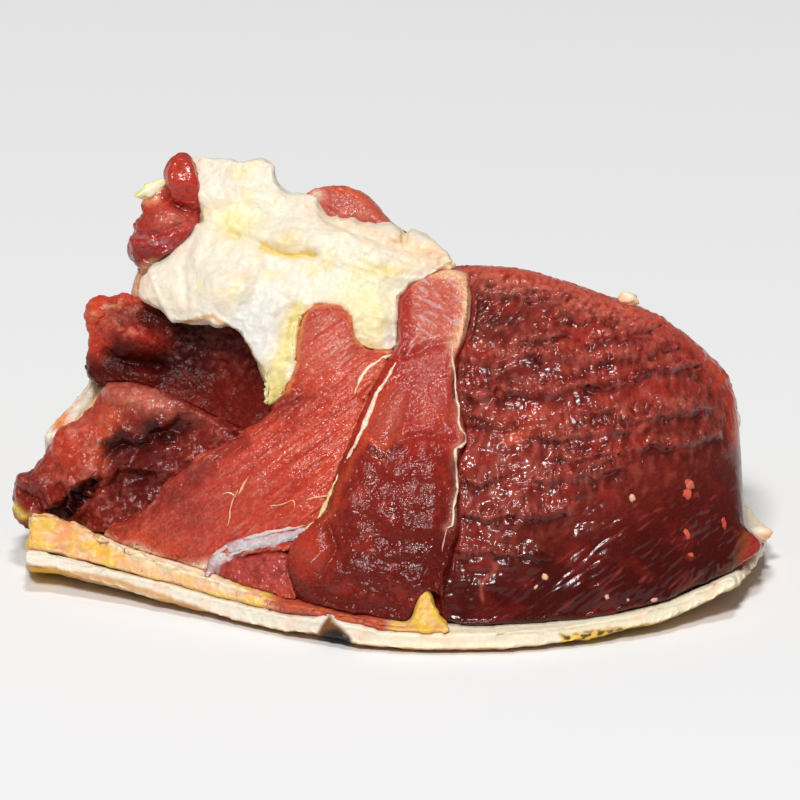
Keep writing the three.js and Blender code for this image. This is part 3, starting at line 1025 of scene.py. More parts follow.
@dataclass
class RoundMuscle(Flesh):
    """The large dark muscle on the right, cut across its grain."""

    node = "round_muscle"
    slot = "dark_muscle"
    finish = UPRIGHT_GRAIN
    base = Tint.DARK_MEAT
    ledge_height: float = 1.4  # mm, as are all heights and depths
    wave_height: float = 0.85
    swell_height: float = 1.2
    pocket_depth: float = 3.6
    rib: tuple[float, float] = (6, 2.1)  # mm long and wide
    rib_height: float = 0.8
    streak_height: float = 0.34
    LEDGES: ClassVar[tuple[tuple[Line, float], ...]] = (  # where each runs, and its reach in squares
        (((456, 361), (480, 365), (505, 362), (526, 357)), 9),
        (((530, 341), (545, 342), (562, 337)), 6),
        (((545, 360), (570, 363), (600, 362), (640, 358), (665, 349)), 9),
        (((455, 392), (475, 399), (500, 392)), 7),
        (((506, 393), (530, 398), (556, 395), (577, 387)), 8),
        (((566, 413), (590, 416), (612, 410)), 6),
        (((618, 425), (645, 420), (670, 415), (698, 408)), 8),
        (((534, 439), (560, 441), (590, 436), (618, 434)), 6),
        (((664, 449), (690, 445), (714, 437)), 6),
        (((545, 481), (570, 481), (598, 478), (612, 469)), 8),
        (((470, 484), (482, 486), (495, 483)), 6),
        (((515, 517), (535, 521), (560, 514)), 9),
        (((462, 556), (490, 554), (518, 558), (540, 560)), 5),
        (((484, 293), (500, 294), (520, 296)), 6),
        (((534, 298), (550, 300), (566, 298)), 5),
        (((560, 318), (585, 322), (612, 316)), 6),
        (((600, 338), (630, 334), (655, 326)), 6),
        (((640, 378), (668, 373), (694, 364)), 6),
        (((585, 388), (605, 391), (630, 386)), 5),
        (((470, 425), (490, 430), (512, 424)), 6),
        (((560, 460), (580, 462), (602, 456)), 5),
        (((620, 455), (640, 452), (655, 447)), 5),
        (((470, 518), (488, 521), (505, 516)), 6),
    )
    TOP: ClassVar[Line] = (
        (474, 264), (540, 274), (600, 292), (650, 312), (700, 346), (733, 392), (740, 440))
    RIM: ClassVar[Line] = (
        (450, 636), (560, 634), (640, 622), (705, 604), (738, 566), (748, 520), (742, 440))

    def _slanted(self, at: Place) -> Mask:
        """1 at the lower right, where the grain slants."""
        return smooth(0.35, 1.0, (at.u - 560) / 170 + (at.v - 455) / 130)

    def _pocket(self, at: Place) -> Mask:
        """1 in the dark pocket beside the slab."""
        return smooth(0.25, 0.8, hill(at, 488, 318, 50, 34, 10))

    def sway(self, at: Place) -> Shift:
        """The foot spreads down to the hide and over to the wedge of fat."""
        foot = off_line(at, [(450, 632), (560, 630), (640, 618), (705, 600), (735, 575)])
        return -3.2 * hill(at, 446, 606, 10, 18), -1.6 * np.exp(-(foot / 9) ** 2)

    def form(self, at: Place) -> Mask:
        """Ledges, level waves and a pocket.

        Args:
            at: The places.

        Returns:
            The height in mm.
        """
        slanted = self._slanted(at)
        wander = at.strayed(14, 4)
        inner = smooth(6, 34, off_line(at, self.TOP[:5]))
        inner = inner * (1 - 0.9 * slanted) * (1 - 0.7 * self._pocket(at))
        ledges = sum(ledge(wander, line, width) for line, width in self.LEDGES)
        waves = at.noise(9, 4.2) + 0.5 * at.noise(5, 2.6)
        return (self.ledge_height * ledges + self.wave_height * inner * waves
                + self.swell_height * at.noise(20, 15, 26)
                - self.pocket_depth * hill(at, 488, 316, 40, 24, 12))

    def relief(self, at: Place) -> Mask:
        """Upright ribs on the ledges, slanting streaks and fine fibre.

        Args:
            at: The places.

        Returns:
            The height in mm.
        """
        slanted, pocket = self._slanted(at), self._pocket(at)
        upright = at.bundles(97, *self.rib)
        leaning = at.bundles(44, 4.5, 1.5)
        crown = smooth(0, 12, off_line(at, self.TOP)) * fade(14, 34, off_line(at, self.TOP))
        ribbed = 0.55 + 1.05 * np.maximum(self._bands(at), 0.6 * crown)
        ribbed = ribbed + 0.3 * self.grain.noise(at.x / 12, at.rise / 9, 4)
        ribs = self.rib_height * upright.facets() - 0.1 * upright.seam(0.3)
        across = (1 - slanted) * (1 - pocket) * ribbed * ribs
        beside = pocket * (0.7 * leaning.facets() - 0.12 * leaning.seam(0.3))
        front = smooth(0.5, 0.9, at.normals @ FRONT)
        streaks = self.streak_height * at.streaks(38, 9, 1.9) + 0.18 * at.streaks(34, 6, 1.0)
        streaked = slanted * (0.1 + 0.9 * front) * streaks
        fine = 0.02 * at.noise(0.7, 1.1, 0.9)
        return across + beside + streaked + fine

    def _bands(self, at: Place) -> Mask:
        """1 on the upper flanks of the ledges."""
        bands = (np.exp(-((above(at, line) - 0.9 * width) / (1.1 * width)) ** 2)
                 for line, width in self.LEDGES)
        return np.minimum(1, sum(bands))

    def tint(self, at: Place, coats: Coats) -> None:
        """Dark red-brown; painted light at the upper right and the top rim, painted highlights on the
        ledges' upper flanks, and painted shade darkest in the pocket and at the foot, and in the creases
        and hollows.

        Args:
            at: The places.
            coats: Takes the tints.
        """
        wander = at.strayed(40, 14)
        uneven = at.rough(11, 8)
        # Painted light: red brightens the upper right and the top. Painted shade darkens the pocket beside
        # the slab. The last hill is a red patch.
        coats.hills(wander, (
            (Tint.RED_MEAT, 0.65, (640, 350, 110, 60, -24)),
            (Tint.RED_MEAT, 0.7, (600, 300, 110, 30, -22)),
            (Tint.DEEP_MEAT, 0.95, (492, 312, 42, 26, 12)),
            (Tint.RED_MEAT, 0.5, (530, 420, 50, 24, 8))))
        # Painted shade: darker towards the foot, down to maroon at the bottom.
        low = smooth(430, 560, wander.v + 0.45 * (wander.u - 600))
        coats.lay(Tint.DEEP_MEAT, 0.85 * low)
        coats.lay(Tint.DEEP_MEAT, 0.5 * hill(wander, 706, 430, 46, 60))
        coats.lay(Tint.MAROON, 0.7 * smooth(510, 590, wander.v + 0.2 * (wander.u - 600)))
        # Painted light: pink above the foot, and painted highlight on the ledges' upper flanks.
        bands = self._bands(wander) * (1 - 0.7 * low)
        coats.lay(Tint.PINK_MEAT, 0.1 * (1 - low))
        coats.lay(Tint.PINK_MEAT, 0.3 * bands * smooth(-0.4, 0.5, at.streaks(97, 5, 1.6)))
        # Painted shade in the creases under the ledges, then in the hollows.
        foot = sum(np.exp(-((above(wander, line) + 0.8 * width) / (0.8 * width)) ** 2)
                   for line, width in self.LEDGES)
        coats.lay(Tint.MAROON, 0.6 * np.minimum(1, foot))
        coats.lay(Tint.MAROON, 0.1 + 0.55 * at.hollow)
        coats.lay(Tint.RED_MEAT, (0.45 - 0.3 * low) * smooth(0.1, 0.7, uneven))
        coats.lay(Tint.ORANGE_MEAT, 0.5 * hill(wander, 516, 436, 16, 8, 10))
        top = off_line(at, self.TOP)
        blotched = at.streaks(75, 6, 2.4)
        coats.lay(Tint.MAROON, 0.45 * smooth(0.1, 0.6, blotched) * (1 - low))
        coats.lay(Tint.PINK_MEAT, 0.22 * smooth(0.1, 0.6, -blotched) * (1 - low))
        # Along the top rim: its own pink and orange edge, with painted light where the rim turns up towards
        # the light.
        crown = fade(4, 34, top + 10 * uneven) * fade(610, 690, at.u)
        coats.lay(Tint.PINK_MEAT, 0.8 * crown * smooth(-0.6, 0.4, at.streaks(60, 6, 1.6)))
        coats.lay(Tint.BRIGHT_MEAT, 0.5 * fade(2, 16, top + 6 * uneven))
        coats.lay(Tint.ORANGE_MEAT, 0.3 * fade(0, 6, top + 5 * uneven))
        tag = patch(at, [(744, 532), (780, 532), (776, 566), (742, 590), (738, 560)], 3)
        coats.lay(Tint.RED_MEAT, 0.9 * tag)
        rim = off_line(at, self.RIM)
        front = smooth(0.3, 0.7, at.normals @ FRONT)
        coats.lay(Tint.BROWN, 0.5 * front * fade(1, 10, rim + 3 * uneven))
        fascia = stroke(wander, [(500, 462), (494, 500), (496, 528), (482, 560), (486, 600)], 1.8)
        coats.lay(Tint.PINK_MEAT, 0.4 * fascia * smooth(-0.1, 0.5, uneven))
        slants = smooth(0.45, 0.8, at.streaks(38, 22, 1.6)) * self._slanted(at)
        coats.lay(Tint.ROSE, 0.35 * slants)


@dataclass
class CentreMuscle(Flesh):
    """The slab in the middle, which overhangs the dark muscle."""

    node = "centre_muscle"
    slot = "red_muscle"
    finish = GRANULAR
    base = Tint.RED_MEAT
    fold_height: float = 1.3  # mm, as are all heights and depths
    crease_depth: float = 1.3
    lobe_height: float = 1.8
    step_depth: float = 1.4
    granule: float = 1.25  # mm across
    granule_height: float = 0.28
    clump_height: float = 0.45
    RIGHT_EDGE: ClassVar[Line] = (
        (452, 345), (453, 369), (457, 393), (458, 410), (459, 427), (466, 439), (455, 447), (455, 466),
        (458, 483), (455, 497), (453, 522), (446, 528))

    def form(self, at: Place) -> Mask:
        """A step between the pale top and the rest, a fold on the left and lumps below.

        Args:
            at: The places.

        Returns:
            The height in mm.
        """
        lumps = at.noise(9, 7)
        lower = smooth(430, 470, at.v)
        beside = stroke(at, [(410, 398), (404, 425), (394, 446)], 5)
        fold = 1.3 * hill(at, 388, 420, 15, 28, -24) - 0.5 * beside
        crease = stroke(at, [(396, 440), (425, 434), (455, 440)], 4)
        lobe = hill(at, 310, 548, 22, 26, 20) - 0.8 * stroke(at, [(326, 520), (336, 548), (322, 575)], 4)
        step = stroke(at, [(405, 356), (430, 344), (455, 340)], 4)
        return ((0.5 + 0.8 * lower) * lumps + self.fold_height * fold - self.crease_depth * crease
                + self.lobe_height * lobe - self.step_depth * step
                + 1.0 * hill(at, 460, 440, 8, 10) + 1.1 * self.grain.noise(at.x / 20, at.rise / 24, 5))

    def relief(self, at: Place) -> Mask:
        """Granules above, clumps of granules and short level dashes below.

        Args:
            at: The places.

        Returns:
            The height in mm.
        """
        grains = at.cells(self.granule)
        clumps = at.cells(4.6, 3.2, 4)
        level = at.bundles(-8, 3.2, 1.3)
        top = fade(330, 362, at.v + 0.4 * (at.u - 430))
        foot = smooth(520, 580, at.v)
        middle = 1 - foot
        fibres = at.streaks(-42, 7, 0.8) * top
        clumped = clumps.humps() * smooth(-0.3, 0.3, clumps.lots[:, 0] - 0.4)
        granular = (self.granule_height * middle + 0.08) * (1 - 0.6 * top)
        return (granular * grains.humps() + 0.28 * fibres
                + self.clump_height * (1 - top) * clumped
                + foot * 0.5 * level.facets() + 0.12 * at.rough(2))

    def tint(self, at: Place, coats: Coats) -> None:
        """Pink with silver fascia at the top, bright red in the middle, dark at the foot, with a painted
        highlight on the left fold and painted shade under it and in the hollows.

        Args:
            at: The places.
            coats: Takes the tints.
        """
        wander = at.strayed(26, 8)
        uneven = at.rough(7)
        coats.lay(Tint.DARK_MEAT, 0.9 * smooth(425, 475, wander.v))
        coats.lay(Tint.DEEP_MEAT, 0.6 * smooth(470, 580, wander.v))
        top = fade(335, 352, wander.v)
        coats.lay(Tint.PINK_MEAT, 0.75 * top)
        silver = smooth(0.15, 0.55, at.streaks(-40, 9, 1.3)) * fade(330, 356, wander.v)
        coats.lay(Tint.SILVER, 0.4 * silver * smooth(412, 424, wander.u))
        crossed = smooth(0.1, 0.5, at.streaks(50, 5, 0.9))
        coats.lay(Tint.SILVER, 0.65 * crossed * hill(wander, 412, 342, 16, 13, 40))
        pale = hill(wander, 436, 402, 24, 30, 20) + 0.6 * hill(wander, 438, 356, 20, 14)
        coats.lay(Tint.PINK_MEAT, 0.3 * pale)
        # The fold at the left: pink that is partly its colour and partly painted highlight, its orange
        # edge, and painted shade in the crease under it.
        coats.lay(Tint.PINK_MEAT, 0.45 * hill(wander, 390, 418, 14, 26, -24))
        coats.lay(Tint.ORANGE_MEAT, 0.5 * stroke(wander, [(370, 438), (384, 446), (398, 440)], 5))
        coats.lay(Tint.MAROON, 0.5 * stroke(wander, [(368, 450), (386, 454), (402, 448)], 5))
        red = patch(wander, [(392, 290), (412, 284), (416, 326), (404, 350), (392, 342)], 3)
        coats.lay(Tint.RED_MEAT, 0.9 * red)
        coats.hills(wander, (
            (Tint.BRIGHT_MEAT, 0.8, (308, 550, 22, 26)),
            (Tint.DEEP_MEAT, 0.45, (430, 545, 34, 50))))
        rim = stroke(at, [(440, 270), (462, 276), (469, 300), (465, 328), (455, 343)], 7)
        coats.lay(Tint.PEACH, 0.95 * rim)
        crest = stroke(at, [(400, 284), (425, 272), (455, 268)], 6)
        coats.lay(Tint.PEACH, 0.7 * crest)
        coats.lay(Tint.PALE_PINK, 0.35 * stroke(at, self.RIGHT_EDGE, 4))
        seam = stroke(wander, [(389, 376), (384, 396), (374, 410), (362, 444), (345, 478), (322, 522)], 5)
        coats.lay(Tint.ORANGE_MEAT, 0.35 * seam)
        # Painted shade in the hollows.
        coats.lay(Tint.DEEP_MEAT, 0.05 + 0.3 * at.hollow)
        coats.lay(Tint.BRIGHT_MEAT, 0.22 * smooth(0.2, 0.7, uneven))


@dataclass
class FanMuscle(Flesh):
    """The pale muscle that fans out to the lower left."""

    node = "fan_muscle"
    slot = "pale_muscle"
    finish = SLANTED_GRAIN
    base = Tint.BRIGHT_MEAT
    overlap: tuple[float, float] = (2.2, 2.6)  # mm to the left and up over the two bundles
    fold_height: float = 0.9  # mm, as are all heights and depths
    lump_height: float = 1.5
    crease_depth: float = 1.0
    rim_depth: float = 1.5
    granule: float = 1.15  # mm across
    granule_height: float = 0.3
    bundle_height: float = 0.45
    LEFT_EDGE: ClassVar[Line] = ((110, 537), (150, 508), (178, 488), (208, 466), (244, 438))
    TONGUE: ClassVar[Line] = (
        (286, 391), (295, 373), (297, 362), (299, 340), (302, 321), (312, 306), (323, 304), (341, 305),
        (350, 315), (353, 328), (358, 341), (372, 349), (393, 350))

    def sway(self, at: Place) -> Shift:
        """The left edge reaches unevenly over the two bundles.

        Args:
            at: The places.

        Returns:
            The shifts in mm, to the right and up the cut face.
        """
        uneven = np.maximum(0, self.grain.noise(at.u / 24, at.v / 24, 4) + 0.35)
        reach = uneven * stroke(at, self.LEFT_EDGE, 10)
        left, up = self.overlap
        return -left * reach, up * reach

    def form(self, at: Place) -> Mask:
        """Low folds along the fibres, and the lump under the fat beside the slab.

        Args:
            at: The places.

        Returns:
            The height in mm.
        """
        folds = at.streaks(38, 26, 5.5, 12)
        lump = hill(at, 384, 368, 26, 12, 30) - 0.8 * stroke(at, [(366, 400), (386, 384), (400, 366)], 4)
        crease = stroke(at, [(262, 412), (290, 402), (312, 396)], 4)
        tongue = hill(at, 318, 322, 12, 20)
        rim = stroke(at, [(120, 545), (150, 558), (190, 566)], 9)
        return (self.fold_height * folds + self.lump_height * lump - self.crease_depth * crease
                + 0.8 * tongue - self.rim_depth * rim + 0.5 * self.grain.noise(at.x / 12, at.rise / 10, 3))

    def relief(self, at: Place) -> Mask:
        """Fibres towards the lower left with fine granules on them.

        Args:
            at: The places.

        Returns:
            The height in mm.
        """
        grains = at.cells(self.granule)
        bundles = at.bundles(36, 9, 1.9, 4)
        return (self.granule_height * grains.humps() + 0.28 * at.streaks(38, 11, 1.1)
                + self.bundle_height * bundles.facets() - 0.12 * bundles.seam(0.15)
                + 0.1 * at.rough(2.2))

    def tint(self, at: Place, coats: Coats) -> None:
        """Pinkish orange red, with painted shade along its creases and in its hollows, painted light on its
        crests, and a pale rim at the lower left.

        Args:
            at: The places.
            coats: Takes the tints.
        """
        wander = at.strayed(30, 9)
        uneven = at.streaks(38, 20, 3, 9)
        coats.lay(Tint.RED_MEAT, 0.55 * smooth(-0.2, 0.5, uneven))
        coats.lay(Tint.PINK_MEAT, 0.45 * smooth(0.1, 0.6, at.streaks(34, 14, 1.7)))
        # The first hill is painted shade in the crease below the tongue.
        coats.hills(wander, (
            (Tint.DARK_MEAT, 0.8, (282, 404, 30, 13, 14)),
            (Tint.RED_MEAT, 0.6, (308, 320, 7, 18)),
            (Tint.ORANGE_MEAT, 0.8, (380, 372, 22, 12, 30)),
            (Tint.ORANGE_MEAT, 0.5, (352, 440, 16, 44, -28)),
            (Tint.ROSE, 0.55, (200, 500, 70, 50, 30)),
            (Tint.DARK_MEAT, 0.5, (180, 505, 26, 22))))
        speckled = smooth(0.1, 0.6, at.rough(2.2, 2))
        coats.lay(Tint.PINK_MEAT, 0.3 * speckled)
        left = fade(2, 14, off_line(at.strayed(12, 8), self.LEFT_EDGE))
        coats.lay(Tint.DARK_MEAT, 0.6 * left)
        coats.lay(Tint.ORANGE_MEAT, 0.45 * hill(wander, 150, 545, 60, 14, -15))
        rim = off_line(wander, [(106, 538), (120, 552), (150, 562), (200, 568), (225, 560)])
        coats.lay(Tint.PALE_PINK, 0.85 * fade(3, 15, rim))
        coats.lay(Tint.CREAM, 0.6 * fade(1, 7, rim))
        coats.lay(Tint.PINK_MEAT, 0.5 * hill(wander, 326, 346, 30, 34))
        coats.lay(Tint.PALE_PINK, 0.3 * hill(wander, 330, 350, 24, 30) * smooth(-0.1, 0.5, uneven))
        edge = fade(0, 4.5, off_line(at, self.TONGUE) + 2.5 * self.grain.noise(at.u / 6, at.v / 6, 2))
        coats.lay(Tint.ORANGE_FAT, 0.6 * edge)
        # Painted shade in the hollows and painted light on the crests.
        coats.lay(Tint.DEEP_MEAT, (0.02 + 0.26 * at.hollow) * (1 - 0.7 * edge))
        coats.lay(Tint.PALE_PINK, 0.25 * smooth(-0.2, -0.9, at.hollow))


@dataclass
class SmallMuscle(Flesh):
    """The small muscle under the silverskin."""

    node = "small_muscle"
    slot = "red_muscle"
    finish = GRANULAR
    base = Tint.ROSE
    granule_height: float = 0.5  # mm
    SILVERSKIN: ClassVar[Line] = (
        (208, 572), (213, 556), (228, 543), (256, 533), (286, 527), (312, 524))

    def relief(self, at: Place) -> Mask:
        """Coarse granules.

        Args:
            at: The places.

        Returns:
            The height in mm.
        """
        grains = at.cells(2.4, 1.9, 2)
        return self.granule_height * grains.humps() + 0.2 * at.rough(1.6)

    def tint(self, at: Place, coats: Coats) -> None:
        """Dark pink with lavender silverskin over its top.

        Args:
            at: The places.
            coats: Takes the tints.
        """
        wander = at.strayed(14, 4)
        coats.lay(Tint.DARK_MEAT, 0.6 * smooth(-0.2, 0.6, self.grain.rough(at.x / 5, at.rise / 4, 2)))
        coats.lay(Tint.ORANGE_MEAT, 0.5 * hill(wander, 290, 600, 30, 12, -20))
        skin = fade(5, 11, off_line(wander, self.SILVERSKIN))
        coats.lay(Tint.LAVENDER, 0.9 * skin)
        coats.lay(Tint.SILVER, 0.8 * skin * smooth(-0.1, 0.5, self.grain.noise(at.x / 3, at.rise / 3, 1)))
        # Painted shade in the hollows, off the silverskin.
        coats.lay(Tint.DEEP_MEAT, (0.05 + 0.35 * at.hollow) * (1 - skin))


@dataclass
class SideMuscle(Flesh):
    """The two bundles at the lower left."""

    node = "side_muscle"
    slot = "red_muscle"
    finish = GRANULAR
    base = Tint.DARK_MEAT
    cleft_depth: float = 3.6  # mm, as are all heights and depths
    gap_depth: float = 6
    fold_height: float = 2.2
    lump_height: float = 2.0
    crest_height: float = 1.8
    pebble_height: float = 0.9
    granule_height: float = 0.26

    def sway(self, at: Place) -> Shift:
        """The outer end draws back, so that the hide shows behind it."""
        back = hill(at, 70, 398, 34, 34, 45)
        return 5.5 * back, -2.5 * back

    def form(self, at: Place) -> Mask:
        """A cleft under the upper bundle, lumps in front, and folds at the far left.

        Args:
            at: The places.

        Returns:
            The height in mm.
        """
        wander = at.strayed(16, 9)
        cleft = stroke(wander, [(116, 448), (135, 444), (156, 436), (180, 428)], 11)
        gap = patch(
            wander, [(48, 512), (62, 500), (92, 476), (98, 480), (84, 500), (64, 522), (50, 524)], 4)
        folds = (stroke(at, [(26, 482), (42, 480), (52, 496), (56, 512)], 5)
                 - 0.8 * stroke(at, [(58, 484), (62, 504)], 3)
                 - 0.9 * stroke(at, [(20, 490), (36, 500), (42, 518)], 3))
        lump = hill(at, 102, 490, 12, 24, -15) - 0.9 * stroke(at, [(118, 470), (116, 500)], 4)
        crest = hill(at, 150, 402, 44, 10, -18)
        lumps = at.noise(5.5, 5.5, 6)
        return (-self.cleft_depth * cleft - self.gap_depth * gap + self.fold_height * folds
                + self.lump_height * lump + self.crest_height * crest
                + 1.3 * lumps + 0.8 * self.grain.noise(at.x / 12, at.rise / 12, 6))

    def relief(self, at: Place) -> Mask:
        """Wet lumps and granules.

        Args:
            at: The places.

        Returns:
            The height in mm.
        """
        grains = at.cells(1.5, 1.3, 1.4)
        lumps = at.cells(4.2, 3.4, 4)
        return (self.granule_height * grains.humps() + self.pebble_height * lumps.humps()
                + 0.15 * at.rough(2))

    def tint(self, at: Place, coats: Coats) -> None:
        """Wet red with a pink crest that carries painted highlights, painted black shadow in the clefts,
        and painted shade in the hollows.

        Args:
            at: The places.
            coats: Takes the tints.
        """
        wander = at.strayed(24, 7)
        uneven = at.rough(6)
        beside = fade(2, 16, off_line(at.strayed(12, 8), FanMuscle.LEFT_EDGE))
        coats.lay(Tint.RED_MEAT, 0.6 * beside * smooth(-0.2, 0.4, uneven))
        coats.lay(Tint.BRIGHT_MEAT, 0.9 * hill(wander, 76, 436, 40, 46, -30))
        coats.lay(Tint.PINK_MEAT, 0.6 * smooth(-0.2, 0.5, uneven) * hill(wander, 74, 440, 36, 32))
        # The second hill and the pale pink after it: the crest's own pink with painted highlight on the lit
        # ridge.
        coats.hills(wander, (
            (Tint.ORANGE_MEAT, 0.7, (106, 436, 14, 34, -10)),
            (Tint.PINK_MEAT, 0.8, (148, 402, 44, 11, -20))))
        coats.lay(Tint.PALE_PINK, 0.5 * smooth(0.1, 0.5, uneven) * hill(wander, 140, 400, 34, 9, -15))
        coats.lay(Tint.PALE_PINK, 0.45 * smooth(0.2, 0.6, uneven) * hill(wander, 66, 452, 30, 20))
        speckled = smooth(0, 0.6, at.rough(2.4, 2))
        coats.lay(Tint.PINK_MEAT, 0.35 * speckled)
        coats.lay(Tint.MAROON, 0.7 * hill(wander, 140, 480, 34, 40))
        # Painted shadow: maroon and black down the cleft under the upper bundle, and black in the gap at
        # the far left.
        wide = at.strayed(18, 12)
        coats.lay(Tint.MAROON, 0.95 * stroke(wide, [(112, 446), (140, 442), (178, 428)], 15))
        coats.lay(Tint.BLACKISH, 0.5 * stroke(wide, [(116, 440), (140, 438), (170, 430)], 7))
        gap = patch(
            wander, [(48, 512), (62, 500), (94, 474), (100, 482), (86, 502), (64, 524), (50, 526)], 4)
        coats.lay(Tint.BLACKISH, 0.98 * gap)
        coats.lay(Tint.DARK_MEAT, 0.7 * hill(wander, 40, 490, 22, 16))
        yellow = stroke(at, [(14, 506), (22, 516), (36, 519)], 4)
        coats.lay(Tint.YELLOW_FAT, 0.9 * yellow)
        # Painted shade in the hollows, off the yellow rim.
        coats.lay(Tint.DEEP_MEAT, (0.1 + 0.45 * at.hollow) * (1 - yellow))


@dataclass
class HollowMuscle(Flesh):
    """The dark muscle with the hollow."""

    node = "hollow_muscle"
    slot = "dark_muscle"
    finish = SHADED
    base = Tint.DEEP_MEAT
    blob_height: float = 4.0  # mm, as are all heights and depths
    under_depth: float = 3.0
    fold_height: float = 1.8
    corner_height: float = 4.5
    granule_height: float = 0.26

    def sway(self, at: Place) -> Shift:
        """The upper left corner stands out further."""
        corner = hill(at, 92, 308, 26, 24)
        return -3.0 * corner, 2.0 * corner

    def form(self, at: Place) -> Mask:
        """A blob that stands out at the left, folds round it and low waves in the hollow.

        Args:
            at: The places.

        Returns:
            The height in mm.
        """
        blob = hill(at, 138, 335, 26, 13, -18)
        under = stroke(at, [(104, 352), (124, 362), (160, 366)], 7)
        folds = at.bundles(110, 9, 4.2, 6).humps()
        left = hill(at, 96, 320, 24, 40)
        return (self.blob_height * blob - self.under_depth * under + self.fold_height * left * folds
                + self.corner_height * hill(at, 98, 310, 28, 22)
                + 0.9 * at.noise(10, 8))

    def relief(self, at: Place) -> Mask:
        """Fine granules and short fibres.

        Args:
            at: The places.

        Returns:
            The height in mm.
        """
        grains = at.cells(1.4, 1.1)
        return (self.granule_height * grains.humps() + 0.3 * at.streaks(-35, 5, 1.3)
                + 0.35 * at.noise(3.4, 3))

    def tint(self, at: Place, coats: Coats) -> None:
        """Maroon, with painted shade under the fat's overhang, deeper in and in the hollows, painted black
        shadow under the blob, and orange red at its left.

        Args:
            at: The places.
            coats: Takes the tints.
        """
        wander = at.strayed(24, 7)
        uneven = at.rough(6)
        # Maroon and black over the hollow: the muscle's dark colour, with painted shade under the fat's
        # overhang.
        coats.hills(wander, (
            (Tint.MAROON, 0.95, (175, 352, 66, 34)),
            (Tint.BLACKISH, 0.72, (185, 348, 56, 26, -14))))
        # Painted shadow under the blob.
        coats.lay(Tint.BLACKISH, 0.5 * stroke(wander, [(108, 352), (130, 364), (160, 360)], 7))
        coats.lay(Tint.DARK_MEAT, 0.6 * hill(wander, 226, 372, 26, 30))
        rim = fade(92, 118, wander.u) * fade(340, 372, at.v)
        coats.lay(Tint.BRIGHT_MEAT, 0.9 * rim)
        coats.lay(Tint.ORANGE_MEAT, 0.6 * smooth(0, 0.5, uneven) * hill(wander, 98, 312, 26, 30))
        coats.lay(Tint.PINK_MEAT, 0.6 * smooth(-0.3, 0.3, -uneven) * hill(wander, 104, 308, 28, 18))
        flaky = smooth(0.1, 0.5, self.grain.rough(at.x / 4, at.rise / 3, 8))
        coats.lay(Tint.PEACH, 0.7 * flaky * hill(wander, 104, 304, 24, 16))
        crest = fade(298, 316, wander.v) * fade(140, 165, at.u)
        coats.lay(Tint.BRIGHT_MEAT, 0.8 * crest)
        coats.lay(Tint.RED_MEAT, 0.9 * hill(wander, 138, 334, 28, 13, -18))
        speckled = smooth(-0.1, 0.5, at.rough(2.4, 2))
        coats.lay(Tint.PINK_MEAT, 0.7 * speckled * hill(wander, 130, 330, 24, 10, -18))
        coats.lay(Tint.PINK_MEAT, 0.16 * speckled * smooth(150, 190, at.u))
        coats.lay(Tint.DARK_MEAT, 0.7 * smooth(368, 400, wander.v))
        # Painted shade: darker deeper in, then in the hollows.
        behind = smooth(20, 34, at.depth)
        coats.lay(Tint.DARK_MEAT, 0.8 * behind)
        coats.lay(Tint.MAROON, 0.05 + 0.4 * at.hollow)


@dataclass
class BackMuscle(Flesh):
    """The red hump behind the fat cap."""

    node = "back_muscle"
    slot = "pale_muscle"
    finish = GRANULAR
    base = Tint.ROSE
    hump_height: float = 1.5  # mm
    granule_height: float = 0.35  # mm

    def form(self, at: Place) -> Mask:
        """A swell where the hump stands out over the fat."""
        return super().form(at) * 0.5 + self.hump_height * hill(at, 345, 198, 46, 16, -12)

    def sway(self, at: Place) -> Shift:
        """The hump stands out further over the fat."""
        return -1.5 * hill(at, 315, 200, 14, 14), 2.4 * hill(at, 345, 202, 44, 16, -14)

    def relief(self, at: Place) -> Mask:
        """Granules in slanting rows.

        Args:
            at: The places.

        Returns:
            The height in mm.
        """
        grains = at.cells(1.4, 1.2)
        return self.granule_height * grains.humps() + 0.25 * at.streaks(-30, 6, 1.2)

    def tint(self, at: Place, coats: Coats) -> None:
        """Rose with orange red edges.

        Args:
            at: The places.
            coats: Takes the tints.
        """
        wander = at.strayed(20, 5)
        uneven = self.grain.rough(at.x / 5, at.rise / 4, 2)
        coats.lay(Tint.PINK_MEAT, 0.45 + 0.5 * smooth(-0.1, 0.5, uneven))
        edge = off_line(wander, [(306, 194), (318, 187), (350, 189), (372, 202), (392, 222)])
        coats.lay(Tint.ORANGE_MEAT, 0.7 * fade(1, 7, edge))
        coats.lay(Tint.CREAM, 0.8 * hill(wander, 314, 196, 6, 5))
        # Painted shade in the hollows.
        coats.lay(Tint.DARK_MEAT, 0.1 + 0.4 * at.hollow)


